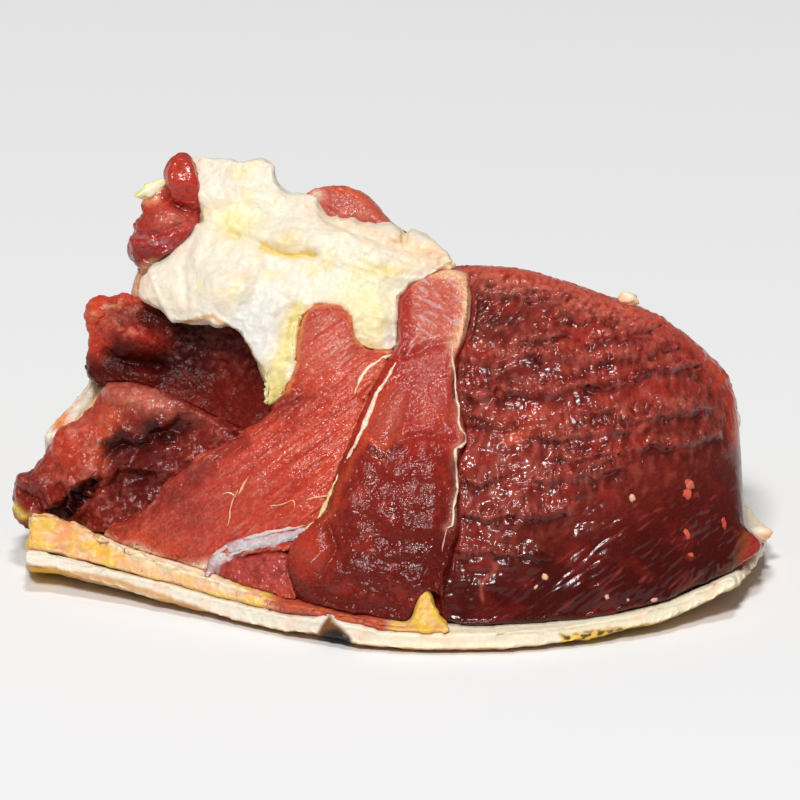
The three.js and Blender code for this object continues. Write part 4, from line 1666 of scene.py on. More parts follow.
@dataclass
class Lobes(Flesh):
    """The two red lobes at the top left."""

    node = "lobes"
    slot = "red_muscle"
    finish = GLOSSY
    base = Tint.RED_MEAT
    overlap: float = 2.2  # mm that they reach over to the fat
    fold_height: float = 0.9  # mm
    crease_depth: float = 1.4  # mm

    def sway(self, at: Place) -> Shift:
        """Reaches over to the fat."""
        return self.overlap * hill(at, 192, 214, 9, 16), 0.0

    def form(self, at: Place) -> Mask:
        """Soft folds.

        Args:
            at: The places.

        Returns:
            The height in mm.
        """
        return (self.fold_height * at.noise(6)
                - self.crease_depth * stroke(at, [(134, 232), (160, 234), (190, 220)], 4))

    def relief(self, at: Place) -> Mask:
        """Glossy, with few granules.

        Args:
            at: The places.

        Returns:
            The height in mm.
        """
        grains = at.cells(1.5)
        lower = smooth(200, 212, at.v)
        return (0.1 + 0.3 * lower) * grains.humps() + 0.2 * at.rough(2.4, 2)

    def tint(self, at: Place, coats: Coats) -> None:
        """Bright red above, dark below with a painted lavender reflection, peach at the shred, and painted
        shade in the hollows.

        Args:
            at: The places.
            coats: Takes the tints.
        """
        wander = at.strayed(16, 4)
        coats.lay(Tint.BRIGHT_MEAT, 0.6 * fade(180, 200, wander.v))
        coats.lay(Tint.DARK_MEAT, 0.8 * smooth(240, 256, wander.v))
        coats.lay(Tint.PINK_MEAT, 0.7 * hill(wander, 172, 220, 20, 9))
        # Painted reflection: a lavender glaze on the lower lobe.
        painted_sheen = smooth(-0.3, 0.4, self.grain.rough(at.x / 3, at.rise / 2, 6))
        coats.lay(Tint.LAVENDER, 0.3 * hill(wander, 152, 242, 24, 7, -6) * painted_sheen)
        shred = hill(wander, 148, 192, 15, 11) * fade(152, 168, wander.u)
        coats.lay(Tint.PEACH, 0.95 * smooth(0.1, 0.5, shred))
        coats.hills(wander, (
            (Tint.CREAM, 0.8, (146, 190, 10, 5)),
            (Tint.BRIGHT_MEAT, 0.85, (156, 203, 14, 7))))
        coats.lay(Tint.PEACH, 0.85 * smooth(258, 270, wander.v) * fade(165, 180, at.u))
        # Painted shade in the hollows, off the shred.
        coats.lay(Tint.DEEP_MEAT, (0.05 + 0.35 * at.hollow) * fade(0.1, 0.5, shred))


@dataclass
class FatCap(Flesh):
    """The white fat over the upper left."""

    node = "fat_cap"
    slot = "white_fat"
    finish = FAT
    base = Tint.WHITE_FAT
    fold_depth: float = 2.2  # mm, as are all heights and depths
    step_depth: float = 1.0
    flap_height: float = 0.8
    tower_depth: float = 0.7
    strip_depth: float = 1.4
    bulge_height: float = 1.8
    swell_height: float = 1.9
    bubble_height: float = 0.45
    wrinkle_height: float = 0.3
    LIP: ClassVar[Line] = (
        (134, 308), (150, 318), (173, 328), (189, 321), (212, 316), (235, 331), (249, 347), (262, 379))

    def sway(self, at: Place) -> Shift:
        """Its outline wanders."""
        right = self.grain.noise(at.x / 6, at.rise / 6, 2)
        return 0.9 * right, self.grain.noise(at.x / 5, at.rise / 5, 5)

    def form(self, at: Place) -> Mask:
        """Soft lobes with folds between them, a flap at the left and a thin ragged right edge.

        Args:
            at: The places.

        Returns:
            The height in mm.
        """
        fold = stroke(at, [(232, 232), (258, 243), (281, 252), (313, 255)], 5)
        step = stroke(at, [(200, 222), (216, 228), (236, 234)], 5)
        flap = stroke(at, [(150, 268), (156, 290), (172, 322)], 4) - stroke(at, [(182, 268), (186, 300)], 4)
        tower = stroke(at, [(239, 160), (240, 195)], 5)
        strip = stroke(at, [(296, 312), (286, 350), (272, 400)], 12)
        beside = stroke(at, [(330, 218), (380, 240), (440, 258)], 5)
        bulge = hill(at, 222, 280, 40, 30)
        return (-self.fold_depth * fold - self.step_depth * step + self.flap_height * flap
                - self.tower_depth * tower - self.strip_depth * strip - self.strip_depth * beside
                + self.bulge_height * bulge - 3 * hill(at, 405, 236, 4, 7)
                + self.swell_height * at.noise(14, 12))

    def relief(self, at: Place) -> Mask:
        """Soft pebbles, bubbly beside the yellow strip, and wrinkles on the right.

        Args:
            at: The places.

        Returns:
            The height in mm.
        """
        bubbles = at.cells(1.9)
        bubbly = hill(at, 250, 335, 26, 40, -20)
        wrinkles = at.streaks(-18, 12, 1.8) * smooth(330, 380, at.u)
        strip = stroke(at, [(298, 314), (290, 340), (280, 372), (270, 402)], 9)
        lumps = at.cells(3.4, 3, 3)
        return ((0.08 + self.bubble_height * bubbly) * bubbles.humps()
                + self.wrinkle_height * wrinkles + 0.9 * strip * lumps.humps()
                + 0.5 * at.rough(5))

    def tint(self, at: Place, coats: Coats) -> None:
        """Cream white with yellow folds, a grey patch, an olive strip, a peach right end and painted olive
        shade in the hollows.

        Args:
            at: The places.
            coats: Takes the tints.
        """
        wander = at.strayed(24, 7)
        uneven = at.rough(10, 9)
        coats.lay(Tint.PEACH, 0.22 * smooth(0.1, 0.8, self.grain.rough(at.x / 8, at.rise / 8, 21)))
        coats.lay(Tint.YELLOW_CREAM, 0.45 * smooth(0.1, 0.7, uneven))
        coats.lay(Tint.YELLOW_CREAM, 0.8 * hill(wander, 236, 224, 22, 20))
        coats.lay(Tint.YELLOW_FAT, 0.9 * stroke(wander, [(262, 246), (281, 253), (311, 255)], 5))
        coats.hills(wander, (
            (Tint.YELLOW_FAT, 0.5, (288, 240, 16, 9)),
            (Tint.YELLOW_FAT, 0.7, (390, 270, 24, 7, 8)),
            (Tint.YELLOW_CREAM, 0.6, (365, 312, 30, 44)),
            (Tint.OLIVE_FAT, 0.6, (366, 350, 14, 8))))
        coats.lay(Tint.GREY_FAT, 0.85 * smooth(0.2, 0.8, hill(wander, 250, 332, 30, 46, -22)))
        olive = stroke(wander, [(298, 314), (290, 340), (280, 372), (270, 402)], 10)
        coats.lay(Tint.YELLOW_CREAM, olive)
        patchy = smooth(-0.2, 0.4, self.grain.noise(at.x / 4, at.rise / 5, 1))
        coats.lay(Tint.OLIVE_FAT, 0.8 * olive * patchy)
        coats.hills(wander, (
            (Tint.OLIVE_FAT, 0.7, (270, 392, 8, 22)),
            (Tint.PEACH, 0.45, (370, 230, 60, 10, -20)),
            (Tint.PEACH, 0.5, (430, 256, 34, 12, -15)),
            (Tint.SILVER, 0.7, (388, 340, 8, 16))))
        tongue = off_line(at, FanMuscle.TONGUE) + 2.5 * self.grain.noise(at.u / 6, at.v / 6, 2)
        coats.lay(Tint.ORANGE_FAT, 0.45 * fade(0, 5, tongue))
        lip = off_line(at, self.LIP)
        coats.lay(Tint.TAN, 0.75 * fade(0.5, 4, lip))
        coats.lay(Tint.PALE_PINK, 0.5 * hill(wander, 142, 292, 8, 20))
        # Painted shade: olive in the hollows.
        coats.lay(Tint.OLIVE_FAT, 0.35 * at.hollow)


@dataclass
class YellowFat(Flesh):
    """The yellow fat along the hide."""

    node = "yellow_fat"
    slot = "yellow_fat"
    finish = FAT
    base = Tint.PEACH
    swell_height: float = 0.6  # mm
    thick_swell: float = 1.1  # mm more at the thick left end
    wedge_taper: float = 0.45  # share of its width that the wedge loses towards its point
    pebble_height: float = 0.4  # mm

    def form(self, at: Place) -> Mask:
        """Uneven swells, largest at the thick left end.

        Args:
            at: The places.

        Returns:
            The height in mm.
        """
        thick = fade(90, 170, at.u)
        return (self.swell_height + self.thick_swell * thick) * at.noise(7, 6) - 0.5 * thick

    def sway(self, at: Place) -> Shift:
        """The wedge at the right runs up to a point.

        Args:
            at: The places.

        Returns:
            The shifts in mm, to the right and up the cut face.
        """
        wedge = patch(at, [(396, 580), (458, 580), (458, 634), (396, 634)], 4)
        high = fade(590, 634, at.v)
        return -self.wedge_taper * GRID * wedge * high * (at.u - 420), 0.0

    def relief(self, at: Place) -> Mask:
        """Soft lumps.

        Args:
            at: The places.

        Returns:
            The height in mm.
        """
        pebbles = at.cells(2.6, 2, 2.4)
        return self.pebble_height * pebbles.humps() + 0.5 * at.rough(5, 4)

    def tint(self, at: Place, coats: Coats) -> None:
        """Peach with bright yellow patches, the yellow wedge at the right, and painted orange shade in the
        hollows.

        Args:
            at: The places.
            coats: Takes the tints.
        """
        wander = at.strayed(16, 5)
        uneven = at.rough(5, 4)
        coats.lay(Tint.YELLOW_FAT, 0.85 * smooth(-0.2, 0.3, uneven))
        coats.lay(Tint.CREAM, 0.6 * smooth(0.1, 0.6, self.grain.rough(at.x / 3, at.rise / 3, 13)))
        coats.hills(wander, (
            (Tint.ORANGE_FAT, 0.75, (66, 530, 13, 24, -15)),
            (Tint.PEACH, 0.8, (84, 520, 10, 16, -30)),
            (Tint.BRIGHT_YELLOW, 0.85, (104, 550, 22, 9, -16)),
            (Tint.BRIGHT_YELLOW, 0.7, (34, 536, 16, 12))))
        coats.lay(Tint.PEACH, 0.9 * stroke(wander, [(120, 560), (160, 578), (215, 590)], 5))
        coats.lay(Tint.YELLOW_FAT, 0.8 * hill(wander, 230, 606, 70, 8, -18))
        seam = stroke(at.strayed(8, 3), [(106, 539), (130, 551), (160, 563), (200, 574), (232, 588)], 6)
        coats.lay(Tint.CREAM, 0.85 * seam)
        meaty = smooth(262, 282, wander.u) * fade(378, 396, wander.u)
        coats.lay(Tint.RED_MEAT, 0.92 * meaty)
        coats.lay(Tint.ORANGE_MEAT, 0.6 * meaty * smooth(-0.2, 0.4, uneven))
        coats.lay(Tint.BRIGHT_YELLOW, 0.6 * smooth(398, 418, wander.u))
        # Painted shade: orange in the hollows.
        coats.lay(Tint.ORANGE_FAT, 0.6 * at.hollow)


@dataclass
class Hide(Flesh):
    """The thick hide."""

    node = "hide"
    slot = "hide"
    finish = SKIN
    base = Tint.WHITE_FAT
    peak_height: float = 3.0  # mm, as are all heights
    fold_height: float = 2.2
    wave_height: float = 0.7
    wrinkle_height: float = 0.35
    dimple_height: float = 0.18

    FOOT: ClassVar[Line] = (
        (24, 566), (64, 572), (99, 577), (146, 592), (196, 610), (263, 636), (302, 645), (318, 648),
        (345, 646), (400, 652), (440, 655), (520, 652), (600, 645), (660, 632), (710, 612), (752, 574))
    TOASTED: ClassVar[Line] = (
        (306, 640), (316, 632), (325, 622), (331, 614), (337, 624), (348, 634), (352, 668), (300, 668))
    CHARRED: ClassVar[Line] = (
        (313, 640), (324, 631), (338, 629), (350, 638), (352, 668), (310, 668))

    def sway(self, at: Place) -> Shift:
        """The lip rises to a small peak at its fold."""
        return 0.0, self.peak_height * hill(at, 330, 612, 8, 8)

    def form(self, at: Place) -> Mask:
        """A fold in the lip, and slow waves.

        Args:
            at: The places.

        Returns:
            The height in mm.
        """
        fold = hill(at, 331, 614, 11, 12) - 0.35 * hill(at, 333, 648, 16, 8)
        return self.fold_height * fold + self.wave_height * at.noise(20)

    def relief(self, at: Place) -> Mask:
        """A dimpled cut edge, and wrinkles outside.

        Args:
            at: The places.

        Returns:
            The height in mm.
        """
        wrinkles = self.grain.ridges(at.x / 7, at.back / 9, at.height / 7)
        outer = self._outside(at) * (self.wrinkle_height * wrinkles - 0.1)
        return outer + self.dimple_height * at.rough(3.5, 3, 3)

    @staticmethod
    def _outside(at: Place) -> Mask:
        """1 on the outer skin.

        Args:
            at: The places.

        Returns:
            0 to 1.
        """
        under = smooth(0.35, 0.7, -at.normals[:, 2])
        behind = smooth(0.2, 0.5, at.normals[:, 1]) * smooth(5, 15, at.back)
        return np.maximum(under, behind)

    def tint(self, at: Place, coats: Coats) -> None:
        """White at the cut edge, tan along its foot, scorched at the fold, and singed tan outside.

        Args:
            at: The places.
            coats: Takes the tints.
        """
        wander = at.strayed(18, 3)
        uneven = self.grain.rough(at.x / 9, at.back / 9, at.height / 9)
        coats.lay(Tint.CREAM, smooth(335, 420, wander.u))
        coats.lay(Tint.PEACH, 0.3 * smooth(0.1, 0.7, uneven))
        foot = off_line(wander, self.FOOT)
        coats.lay(Tint.TAN, 0.85 * fade(1, 5, foot))
        streak = stroke(wander, [(58, 424), (70, 396), (86, 376)], 6.5)
        coats.lay(Tint.ORANGE_FAT, streak * smooth(0, 12, at.depth))
        skin = self._outside(at)
        coats.lay(Tint.TAN, 0.85 * skin)
        coats.lay(Tint.BROWN, 0.3 * skin * smooth(-0.2, 0.8, uneven))
        coats.lay(Tint.YELLOW_FAT, 0.4 * skin * smooth(0.2, 0.7, -uneven))
        spots = self.grain.cells(at.x / 14, at.back / 14, at.height / 14)
        burnt = (spots.lots[:, 0] > 0.9) * fade(0.1, 0.35, spots.near)
        coats.lay(Tint.SCORCH, 0.8 * skin * burnt)
        coats.lay(Tint.BRIGHT_YELLOW, 0.9 * patch(wander, [(30, 566), (58, 571), (58, 582), (28, 580)], 2))
        coats.lay(Tint.BROWN, patch(wander, self.TOASTED, 2.5))
        coats.lay(Tint.SCORCH, patch(wander, self.CHARRED, 2.5))
        singed = patch(wander, [(560, 634), (600, 630), (656, 624), (658, 644), (612, 656), (566, 654)], 3)
        coats.lay(Tint.BRIGHT_YELLOW, 0.9 * singed)
        creases = self.grain.noise((at.x + 2 * at.height) / 3.2, (at.height - at.x * 0.3) / 1.1, 5)
        coats.lay(Tint.SCORCH, 0.9 * singed * smooth(-0.1, 0.2, creases))


# ---- Membranes, strands, specks and scraps that lie on the flesh ----

def on_chunk(u: float, v: float) -> tuple[np.ndarray, np.ndarray] | None:
    """The first surface of the chunk behind one square of the front view.

    Args:
        u: Squares from the left.
        v: Squares from the top.

    Returns:
        The point in mm and its normal, or None where the view passes the chunk.
    """
    eye, sight = camera_ray(u, v)
    graph = bpy.context.evaluated_depsgraph_get()
    hit, point, normal, _, thing, _ = bpy.context.scene.ray_cast(graph, eye * MM, sight)
    if not hit or thing.name == "floor":
        return None
    return np.array(point) / MM, np.array(normal)


def through(line: Sequence[Spot], count: int) -> list[Spot]:
    """Points at even shares along a smooth curve.

    Args:
        line: The spots that the curve goes through.
        count: How many points there are.

    Returns:
        The points on the front view.
    """
    spots = np.array(line, float)
    padded = np.vstack([2 * spots[0] - spots[1], spots, 2 * spots[-1] - spots[-2]])
    result = []
    for share in np.linspace(0, len(spots) - 1, count):
        i = min(int(share), len(spots) - 2)
        t = share - i
        p0, p1, p2, p3 = padded[i:i + 4]
        result.append(tuple(0.5 * (2 * p1 + (p2 - p0) * t + (2 * p0 - 5 * p1 + 4 * p2 - p3) * t ** 2
                                   + (3 * p1 - p0 - 3 * p2 + p3) * t ** 3)))
    return result


@dataclass(frozen=True)
class Strand:
    """A band or thread of tissue that lies on the flesh along a line."""

    line: Line
    width: float  # mm across at its middle
    thick: float  # mm through at its middle
    tint: Tint = Tint.CREAM
    edge_tint: Tint | None = None
    taper: float = 0.7  # how much narrower the ends are
    sunk: float = 0.3  # share of the thickness that lies in the flesh
    waves: float = 0.25  # mm that it wanders
    bridge: float = 0  # squares to each side where it rests, when it bridges a seam
    around: int = 8  # faces round it
    station: ClassVar[float] = 0.9  # mm from one ring to the next

    def add_to(self, points: list, faces: list, colours: list, grain: Grain) -> None:
        """Adds its mesh to a growing one.

        Args:
            points: Points so far, in mm.
            faces: Faces so far.
            colours: A colour for each point.
            grain: Noise for its waves.
        """
        spans = sum(math.dist(a, b) for a, b in zip(self.line, self.line[1:])) * GRID
        stations = max(6, int(spans / self.station))
        middle, out = self._run(stations)
        along = np.gradient(middle, axis=0)
        along /= np.linalg.norm(along, axis=1, keepdims=True)
        side = np.cross(out, along)
        side /= np.linalg.norm(side, axis=1, keepdims=True)
        tube = self._straight_tube(stations)
        at = np.array([vertex.co for vertex in tube.verts])
        row = np.clip(np.rint(at[:, 2]).astype(int), 0, stations - 1)
        share = row / (stations - 1)
        size = 1 - self.taper * np.abs(2 * share - 1) ** 2.5
        noise = grain.noise(row * 0.35, at[:, 0] * 0.8, self.line[0][0])
        wide = 0.5 * self.width * size * (1 + 0.35 * grain.noise(row * 0.22, 5.5, self.line[0][1]))
        high = 0.5 * self.thick * size * (1 + 0.3 * noise)
        place = (middle[row] + side[row] * (at[:, 0] * wide + self.waves * noise)[:, None]
                 + out[row] * (at[:, 1] * high + self.thick * (0.5 - self.sunk))[:, None])
        first = len(points)
        points.extend(place)
        faces.extend(tuple(first + vertex.index for vertex in face.verts) for face in tube.faces)
        mottled = np.abs(at[:, 0]) ** 2 + 0.6 * grain.noise(row * 0.5, at[:, 0] * 2, self.line[0][1])
        coats = Coats(len(at), self.tint)
        coats.lay(self.edge_tint or self.tint, mottled)
        colours.extend(coats.colours)
        tube.free()

    def _run(self, stations: int) -> tuple[np.ndarray, np.ndarray]:
        """Lays its middle line on the flesh.

        Args:
            stations: How many rings there are.

        Returns:
            The middle of each ring in mm, and which way is out there.
        """
        spots = through(self.line, stations)
        found = []
        for (u, v), (du, dv) in zip(spots, np.gradient(np.array(spots), axis=0)):
            across = np.array([-dv, du]) / max(math.hypot(du, dv), 1e-6) * self.bridge
            sides = (-1, 1) if self.bridge else (0,)
            rests = [on_chunk(u + side * across[0], v + side * across[1]) for side in sides]
            rests = [rest for rest in rests if rest]
            found.append([sum(rest[i] for rest in rests) / len(rests) for i in (0, 1)] if rests else None)
        known = [i for i, hit in enumerate(found) if hit]
        middle = np.empty((stations, 3))
        out = np.empty((stations, 3))
        for axis in range(3):
            middle[:, axis] = np.interp(range(stations), known, [found[i][0][axis] for i in known])
            out[:, axis] = np.interp(range(stations), known, [found[i][1][axis] for i in known])
        for _ in range(2):
            middle[1:-1] = (middle[:-2] + 2 * middle[1:-1] + middle[2:]) / 4
            out[1:-1] = (out[:-2] + 2 * out[1:-1] + out[2:]) / 4
        out += 0.5 * FRONT
        return middle, out / np.linalg.norm(out, axis=1, keepdims=True)

    def _straight_tube(self, stations: int) -> bmesh.types.BMesh:
        """Makes a closed tube of radius 1 whose rings lie one unit apart.

        Args:
            stations: How many rings it has.

        Returns:
            The tube.
        """
        tube = bmesh.new()
        ring = bmesh.ops.create_circle(tube, segments=self.around, radius=1, cap_ends=False)["verts"]
        edges = list({edge for vertex in ring for edge in vertex.link_edges})
        for _ in range(stations - 1):
            grown = bmesh.ops.extrude_edge_only(tube, edges=edges)["geom"]
            edges = [part for part in grown if isinstance(part, bmesh.types.BMEdge)]
            new = [part for part in grown if isinstance(part, bmesh.types.BMVert)]
            bmesh.ops.translate(tube, verts=new, vec=(0, 0, 1))
        bmesh.ops.holes_fill(tube, edges=tube.edges, sides=self.around)
        bmesh.ops.recalc_face_normals(tube, faces=tube.faces)
        tube.verts.index_update()
        return tube


@dataclass(frozen=True)
class Scrap:
    """A small lump or flake of fat, meat or skin."""

    u: float
    v: float
    radii: tuple[float, float, float]  # mm across, up and through
    tint: Tint = Tint.CREAM
    edge_tint: Tint | None = None
    turn: float = 0
    depth: float | None = None  # mm into the meat, or None to lie on the flesh
    sunk: float = 0.3
    lumps: float = 0.25
    detail: int = 3
    upright: bool = False  # stands in the plane of the view instead of lying on the flesh

    def add_to(self, points: list, faces: list, colours: list, grain: Grain) -> None:
        """Adds its mesh to a growing one.

        Args:
            points: Points so far, in mm.
            faces: Faces so far.
            colours: A colour for each point.
            grain: Noise for its lumps.
        """
        ball = bmesh.new()
        bmesh.ops.create_icosphere(ball, subdivisions=self.detail, radius=1)
        ball.verts.index_update()
        at = np.array([vertex.co for vertex in ball.verts])
        per_unit = 1.3  # lumps in one radius
        swell = 1 + self.lumps * grain.rough(
            at[:, 0] * per_unit + self.u, at[:, 2] * per_unit + self.v, at[:, 1] * per_unit)
        shaped = at * swell[:, None]
        c, s = math.cos(math.radians(self.turn)), math.sin(math.radians(self.turn))
        wide, high, thick = self.radii
        across, inward, up = shaped[:, 0] * wide, shaped[:, 1] * thick, shaped[:, 2] * high
        right = np.array([1.0, 0, 0])
        rise = np.array([0, SIN, COS])
        out = FRONT
        if self.depth is None:
            middle, normal = self._rest()
            out = FRONT if self.upright else normal + 0.4 * FRONT
            out = out / np.linalg.norm(out)
            right = np.cross(out, np.cross(right, out))
            right /= np.linalg.norm(right)
            rise = np.cross(right, out) * -1
            if rise[2] < 0:
                rise = -rise
            middle = middle + out * thick * (1 - 2 * self.sunk)
        else:
            eye, sight = camera_ray(self.u, self.v)
            along = (self.depth + SIGHT) / sight.dot(Vector(-FRONT))
            middle = np.array(eye) + along * np.array(sight)
        place = (middle + np.outer(across * c - up * s, right) + np.outer(across * s + up * c, rise)
                 - np.outer(inward, out))
        first = len(points)
        points.extend(place)
        faces.extend(tuple(first + vertex.index for vertex in face.verts) for face in ball.faces)
        coats = Coats(len(at), self.tint)
        coats.lay(self.edge_tint or self.tint, np.clip(np.hypot(at[:, 0], at[:, 2]), 0, 1) ** 3)
        colours.extend(coats.colours)
        ball.free()

    def _rest(self) -> tuple[np.ndarray, np.ndarray]:
        """Finds where it lies, a little towards the middle of the chunk if the view passes it.

        Returns:
            The point in mm and the flesh's normal there.
        """
        towards = (420, 430)
        for share in np.linspace(0, 0.15, 16):
            hit = on_chunk(self.u + (towards[0] - self.u) * share, self.v + (towards[1] - self.v) * share)
            if hit:
                break
        eye, sight = camera_ray(self.u, self.v)
        far = (Vector(hit[0]) - eye).dot(Vector(-FRONT)) / sight.dot(Vector(-FRONT))
        return np.array(eye + sight * far), hit[1]


@dataclass(frozen=True)
class Extra:
    """Several strands or scraps that make one piece."""

    name: str
    slot: str
    finish: WetFinish
    parts: tuple[Strand | Scrap, ...]
    seed: int = 20

    def build(self) -> bpy.types.Object:
        """Makes the piece.

        Returns:
            The finished object.
        """
        grain = Grain(self.seed)
        points, faces, colours = [], [], []
        for part in self.parts:
            part.add_to(points, faces, colours, grain)
        mesh = bpy.data.meshes.new(self.name)
        mesh.from_pydata((np.array(points) * MM).tolist(), [], faces)
        shell = bmesh.new()
        shell.from_mesh(mesh)
        bmesh.ops.recalc_face_normals(shell, faces=shell.faces)
        shell.to_mesh(mesh)
        shell.free()
        Surface(mesh).paint(np.array(colours))
        mesh.polygons.foreach_set("use_smooth", np.ones(len(mesh.polygons), bool))
        mesh.materials.append(finished(self.finish))
        piece = bpy.data.objects.new(self.name, mesh)
        bpy.context.scene.collection.objects.link(piece)
        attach(piece, "root")
        return piece


EXTRAS = (
    Extra("edge_membrane", "white_fat", MEMBRANE, (
        Strand(((452, 342), (453, 369), (457, 393), (458, 410), (459, 427), (466, 438), (461, 446),
                (455, 450), (455, 466), (458, 483), (455, 497), (453, 510), (453, 524), (447, 528)),
               0.9, 1.3, Tint.CREAM, Tint.PALE_PINK, taper=0.4, sunk=0.25),
        Strand(((447, 528), (444, 540), (442, 552)), 0.5, 0.5, Tint.PALE_PINK),
    )),
    Extra("seam_fascia", "white_fat", MEMBRANE, (
        Strand(((402, 353), (393, 368), (385, 382), (377, 394), (371, 410), (364, 427), (356, 444),
                (346, 462), (338, 477)), 1.9, 1.0, Tint.CREAM, Tint.PINK_MEAT, taper=0.88, bridge=3,
               sunk=0.45, waves=0.5, around=10),
        Strand(((338, 474), (331, 492), (323, 510), (314, 524), (300, 532)), 1.5, 1.0,
               Tint.PEACH, Tint.YELLOW_CREAM, taper=0.5, bridge=3, sunk=0.45, waves=0.7, around=10),
        Strand(((354, 396), (360, 380), (370, 367), (384, 358), (399, 352)), 1.8, 0.9, Tint.CREAM,
               Tint.ORANGE_MEAT, taper=0.8, bridge=3, sunk=0.5, waves=0.4, around=10),
    )),
    Extra("silverskin", "white_fat", MEMBRANE, (
        Strand(((207, 576), (214, 564), (230, 552), (256, 543), (282, 538), (305, 530)), 6.0, 1.5,
               Tint.SILVER, Tint.ROSE, taper=0.7, sunk=0.65, bridge=6, waves=0.5, around=16),
        Strand(((204, 572), (212, 558), (230, 545), (256, 536), (284, 530), (306, 526)), 1.4, 0.8,
               Tint.SILVER, Tint.PALE_PINK, taper=0.6, sunk=0.5, waves=0.5, around=10),
        Strand(((222, 560), (244, 550), (272, 545), (298, 537)), 1.2, 0.6,
               Tint.SILVER, Tint.LAVENDER, taper=0.6, sunk=0.1, waves=0.8),
    )),
    Extra("pale_threads", "white_fat", MEMBRANE, (
        Strand(((249, 476), (243, 486), (238, 496)), 0.7, 0.5, Tint.PEACH, Tint.ORANGE_MEAT),
        Strand(((238, 490), (232, 503), (230, 516), (228, 526)), 0.6, 0.5, Tint.PEACH, Tint.ORANGE_MEAT),
        Strand(((222, 494), (230, 492), (236, 497)), 0.5, 0.4, Tint.CREAM),
        Strand(((270, 506), (284, 504), (294, 500), (295, 509)), 0.6, 0.5, Tint.PEACH, Tint.ORANGE_MEAT),
        Strand(((306, 500), (318, 497), (328, 496)), 0.5, 0.4, Tint.PEACH),
        Strand(((310, 563), (318, 556), (322, 551)), 0.5, 0.4, Tint.PALE_PINK),
    )),
    Extra("fat_specks", "white_fat", FAT, (
        Scrap(689, 485, (1.5, 1.8, 0.9), Tint.PINK_MEAT, Tint.BRIGHT_MEAT, turn=-12, sunk=0.5, lumps=0.5),
        Scrap(687, 494, (1.9, 1.6, 0.9), Tint.ORANGE_MEAT, Tint.BRIGHT_MEAT, turn=20, sunk=0.5, lumps=0.5),
        Scrap(632, 498, (1.1, 1.2, 0.8), Tint.PALE_PINK, Tint.PEACH, sunk=0.45),
        Scrap(545, 577, (1.1, 1.1, 0.7), Tint.PEACH, Tint.PALE_PINK, sunk=0.45),
        Scrap(536, 587, (0.5, 0.9, 0.5), Tint.PEACH, sunk=0.5, turn=-40),
        Scrap(687, 534, (1.0, 1.9, 0.7), Tint.ORANGE_MEAT, Tint.BRIGHT_MEAT, turn=20, sunk=0.6, lumps=0.5),
        Scrap(691, 555, (1.0, 0.8, 0.6), Tint.ORANGE_MEAT, Tint.BRIGHT_MEAT, sunk=0.6, lumps=0.5),
        Scrap(724, 524, (0.9, 2.0, 0.6), Tint.BRIGHT_MEAT, Tint.RED_MEAT, sunk=0.6, lumps=0.5),
        Scrap(607, 597, (0.7, 0.9, 0.5), Tint.PALE_PINK, sunk=0.5),
        Scrap(654, 600, (1.4, 0.7, 0.6), Tint.PALE_PINK, turn=10, sunk=0.5),
        Scrap(628, 600, (0.5, 0.5, 0.4), Tint.PALE_PINK, sunk=0.5),
    )),
    Extra("fat_flakes", "white_fat", FAT, (
        Scrap(627, 303, (3.4, 2.6, 2.0), Tint.CREAM, Tint.PEACH, sunk=0.1, lumps=0.35),
        Scrap(152, 190, (5.4, 2.3, 0.8), Tint.CREAM, Tint.YELLOW_CREAM, turn=26, sunk=0.5, lumps=0.4,
              upright=True),
        Scrap(204, 205, (1.8, 6, 2.5), Tint.CREAM, Tint.PEACH, sunk=0.5, depth=2),
        Scrap(757, 535, (5.6, 2.6, 2.4), Tint.CREAM, Tint.PEACH, turn=-8, sunk=0.4, lumps=0.15),
    )),
)


# ---- Floor, lights and camera ----

@dataclass(frozen=True)
class Softbox:
    """A soft lamp that shines at the chunk."""

    name: str
    azimuth: float  # degrees round the chunk; 0 is the camera's side
    elevation: float
    distance: float
    width: float
    height: float
    power: float

    def place(self, middle: Vector) -> None:
        """Hangs the lamp.

        Args:
            middle: What it shines at, in metres.
        """
        lamp = bpy.data.lights.new(self.name, "AREA")
        lamp.shape = "RECTANGLE"
        lamp.size, lamp.size_y, lamp.energy = self.width, self.height, self.power
        holder = bpy.data.objects.new(self.name, lamp)
        bpy.context.scene.collection.objects.link(holder)
        a, e = math.radians(self.azimuth), math.radians(self.elevation)
        away = Vector((math.sin(a) * math.cos(e), -math.cos(a) * math.cos(e), math.sin(e)))
        holder.location = middle + away * self.distance
        holder.rotation_mode = "QUATERNION"
        holder.rotation_quaternion = (-away).to_track_quat("-Z", "Y")


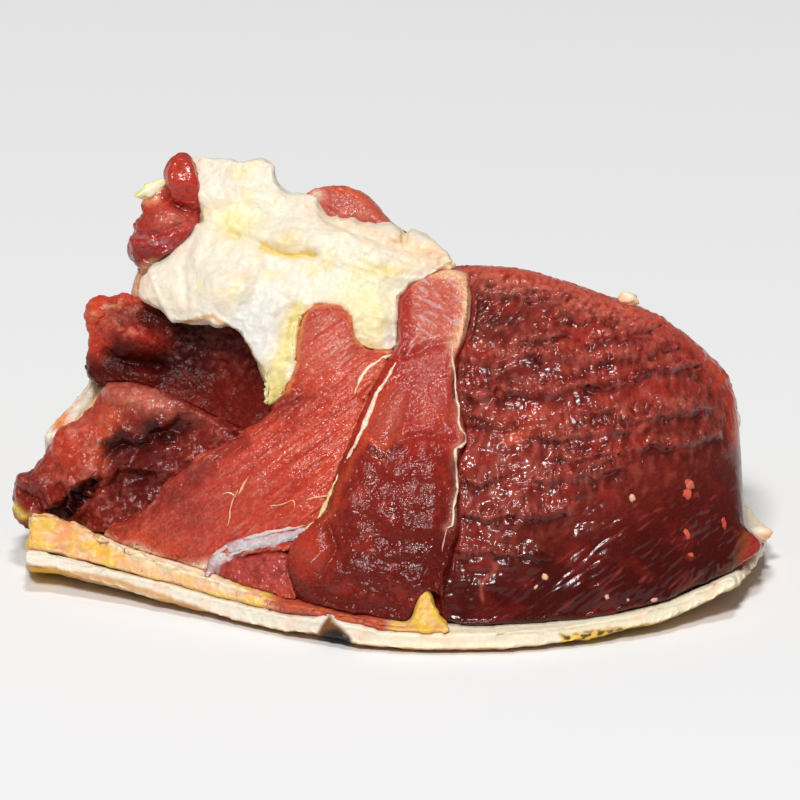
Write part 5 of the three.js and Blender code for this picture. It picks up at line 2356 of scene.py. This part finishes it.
@dataclass
class Studio:
    """The floor, the lamps and the camera."""

    floor_radius: float = 4.0  # m, as are all lengths here
    floor_white: float = 0.86
    floor_drop: float = 0.0002  # under the hide, so that the two don't coincide
    middle: float = 0.055  # height that the lamps shine at
    sky: float = 0.16
    lamps: tuple[Softbox, ...] = (
        Softbox("key lamp", -12, 48, 6.0, 1.1, 0.9, 250),
        Softbox("top lamp", 14, 82, 6.0, 1.0, 0.8, 130),
    )

    def build(self) -> None:
        """Sets everything up."""
        middle = Vector((0, 0, self.middle))
        for lamp in self.lamps:
            lamp.place(middle)
        world = bpy.data.worlds.new("pale room")
        world.use_nodes = True
        world.node_tree.nodes["Background"].inputs["Color"].default_value = (1, 1, 1, 1)
        world.node_tree.nodes["Background"].inputs["Strength"].default_value = self.sky
        bpy.context.scene.world = world
        bpy.context.scene.view_settings.view_transform = "Standard"
        self._floor()
        self._camera()

    def _floor(self) -> None:
        """Lays the floor."""
        disc = bmesh.new()
        bmesh.ops.create_circle(disc, cap_ends=True, segments=64, radius=self.floor_radius)
        mesh = bpy.data.meshes.new("floor")
        disc.to_mesh(mesh)
        disc.free()
        floor = bpy.data.objects.new("floor", mesh)
        bpy.context.scene.collection.objects.link(floor)
        floor.location.z = -self.floor_drop
        material = bpy.data.materials.new("pale floor")
        material.use_nodes = True
        shader = material.node_tree.nodes["Principled BSDF"]
        shader.inputs["Base Color"].default_value = (*[self.floor_white] * 3, 1)
        shader.inputs["Roughness"].default_value = 0.9
        mesh.materials.append(material)

    def _camera(self) -> None:
        """Sets the camera at the photograph's viewing angle."""
        lens = bpy.data.cameras.new("camera")
        lens.sensor_width = 36
        lens.lens = lens.sensor_width * SIGHT / (2 * VIEW_MIDDLE * GRID)
        lens.clip_end = 30
        camera = bpy.data.objects.new("camera", lens)
        bpy.context.scene.collection.objects.link(camera)
        eye, sight = camera_ray(VIEW_MIDDLE, VIEW_MIDDLE)
        camera.location = eye * MM
        camera.rotation_mode = "QUATERNION"
        camera.rotation_quaternion = sight.to_track_quat("-Z", "Y")
        bpy.context.scene.camera = camera


# ---- The chunk ----

def main() -> None:
    """Builds every piece in order and reports it."""
    logging.basicConfig(level=logging.INFO, format="%(message)s")
    Studio().build()
    flesh = [Hide(voxel=2.2, seed=2), YellowFat(voxel=1.45, seed=3), RoundMuscle(voxel=2.1, seed=4),
             CentreMuscle(voxel=1.7, seed=5), FanMuscle(voxel=1.7, seed=6), SmallMuscle(voxel=1.4, seed=7),
             SideMuscle(voxel=1.7, seed=8), HollowMuscle(seed=9), BackMuscle(voxel=1.7, seed=10),
             Lobes(voxel=1.2, seed=11), FatCap(voxel=1.7, seed=12)]
    for part in flesh:
        piece = part.build()
        log.info("%s: %d faces", piece.name, len(piece.data.polygons))
    for extra in EXTRAS:
        piece = extra.build()
        log.info("%s: %d faces", piece.name, len(piece.data.polygons))


if __name__ == "__main__":
    main()
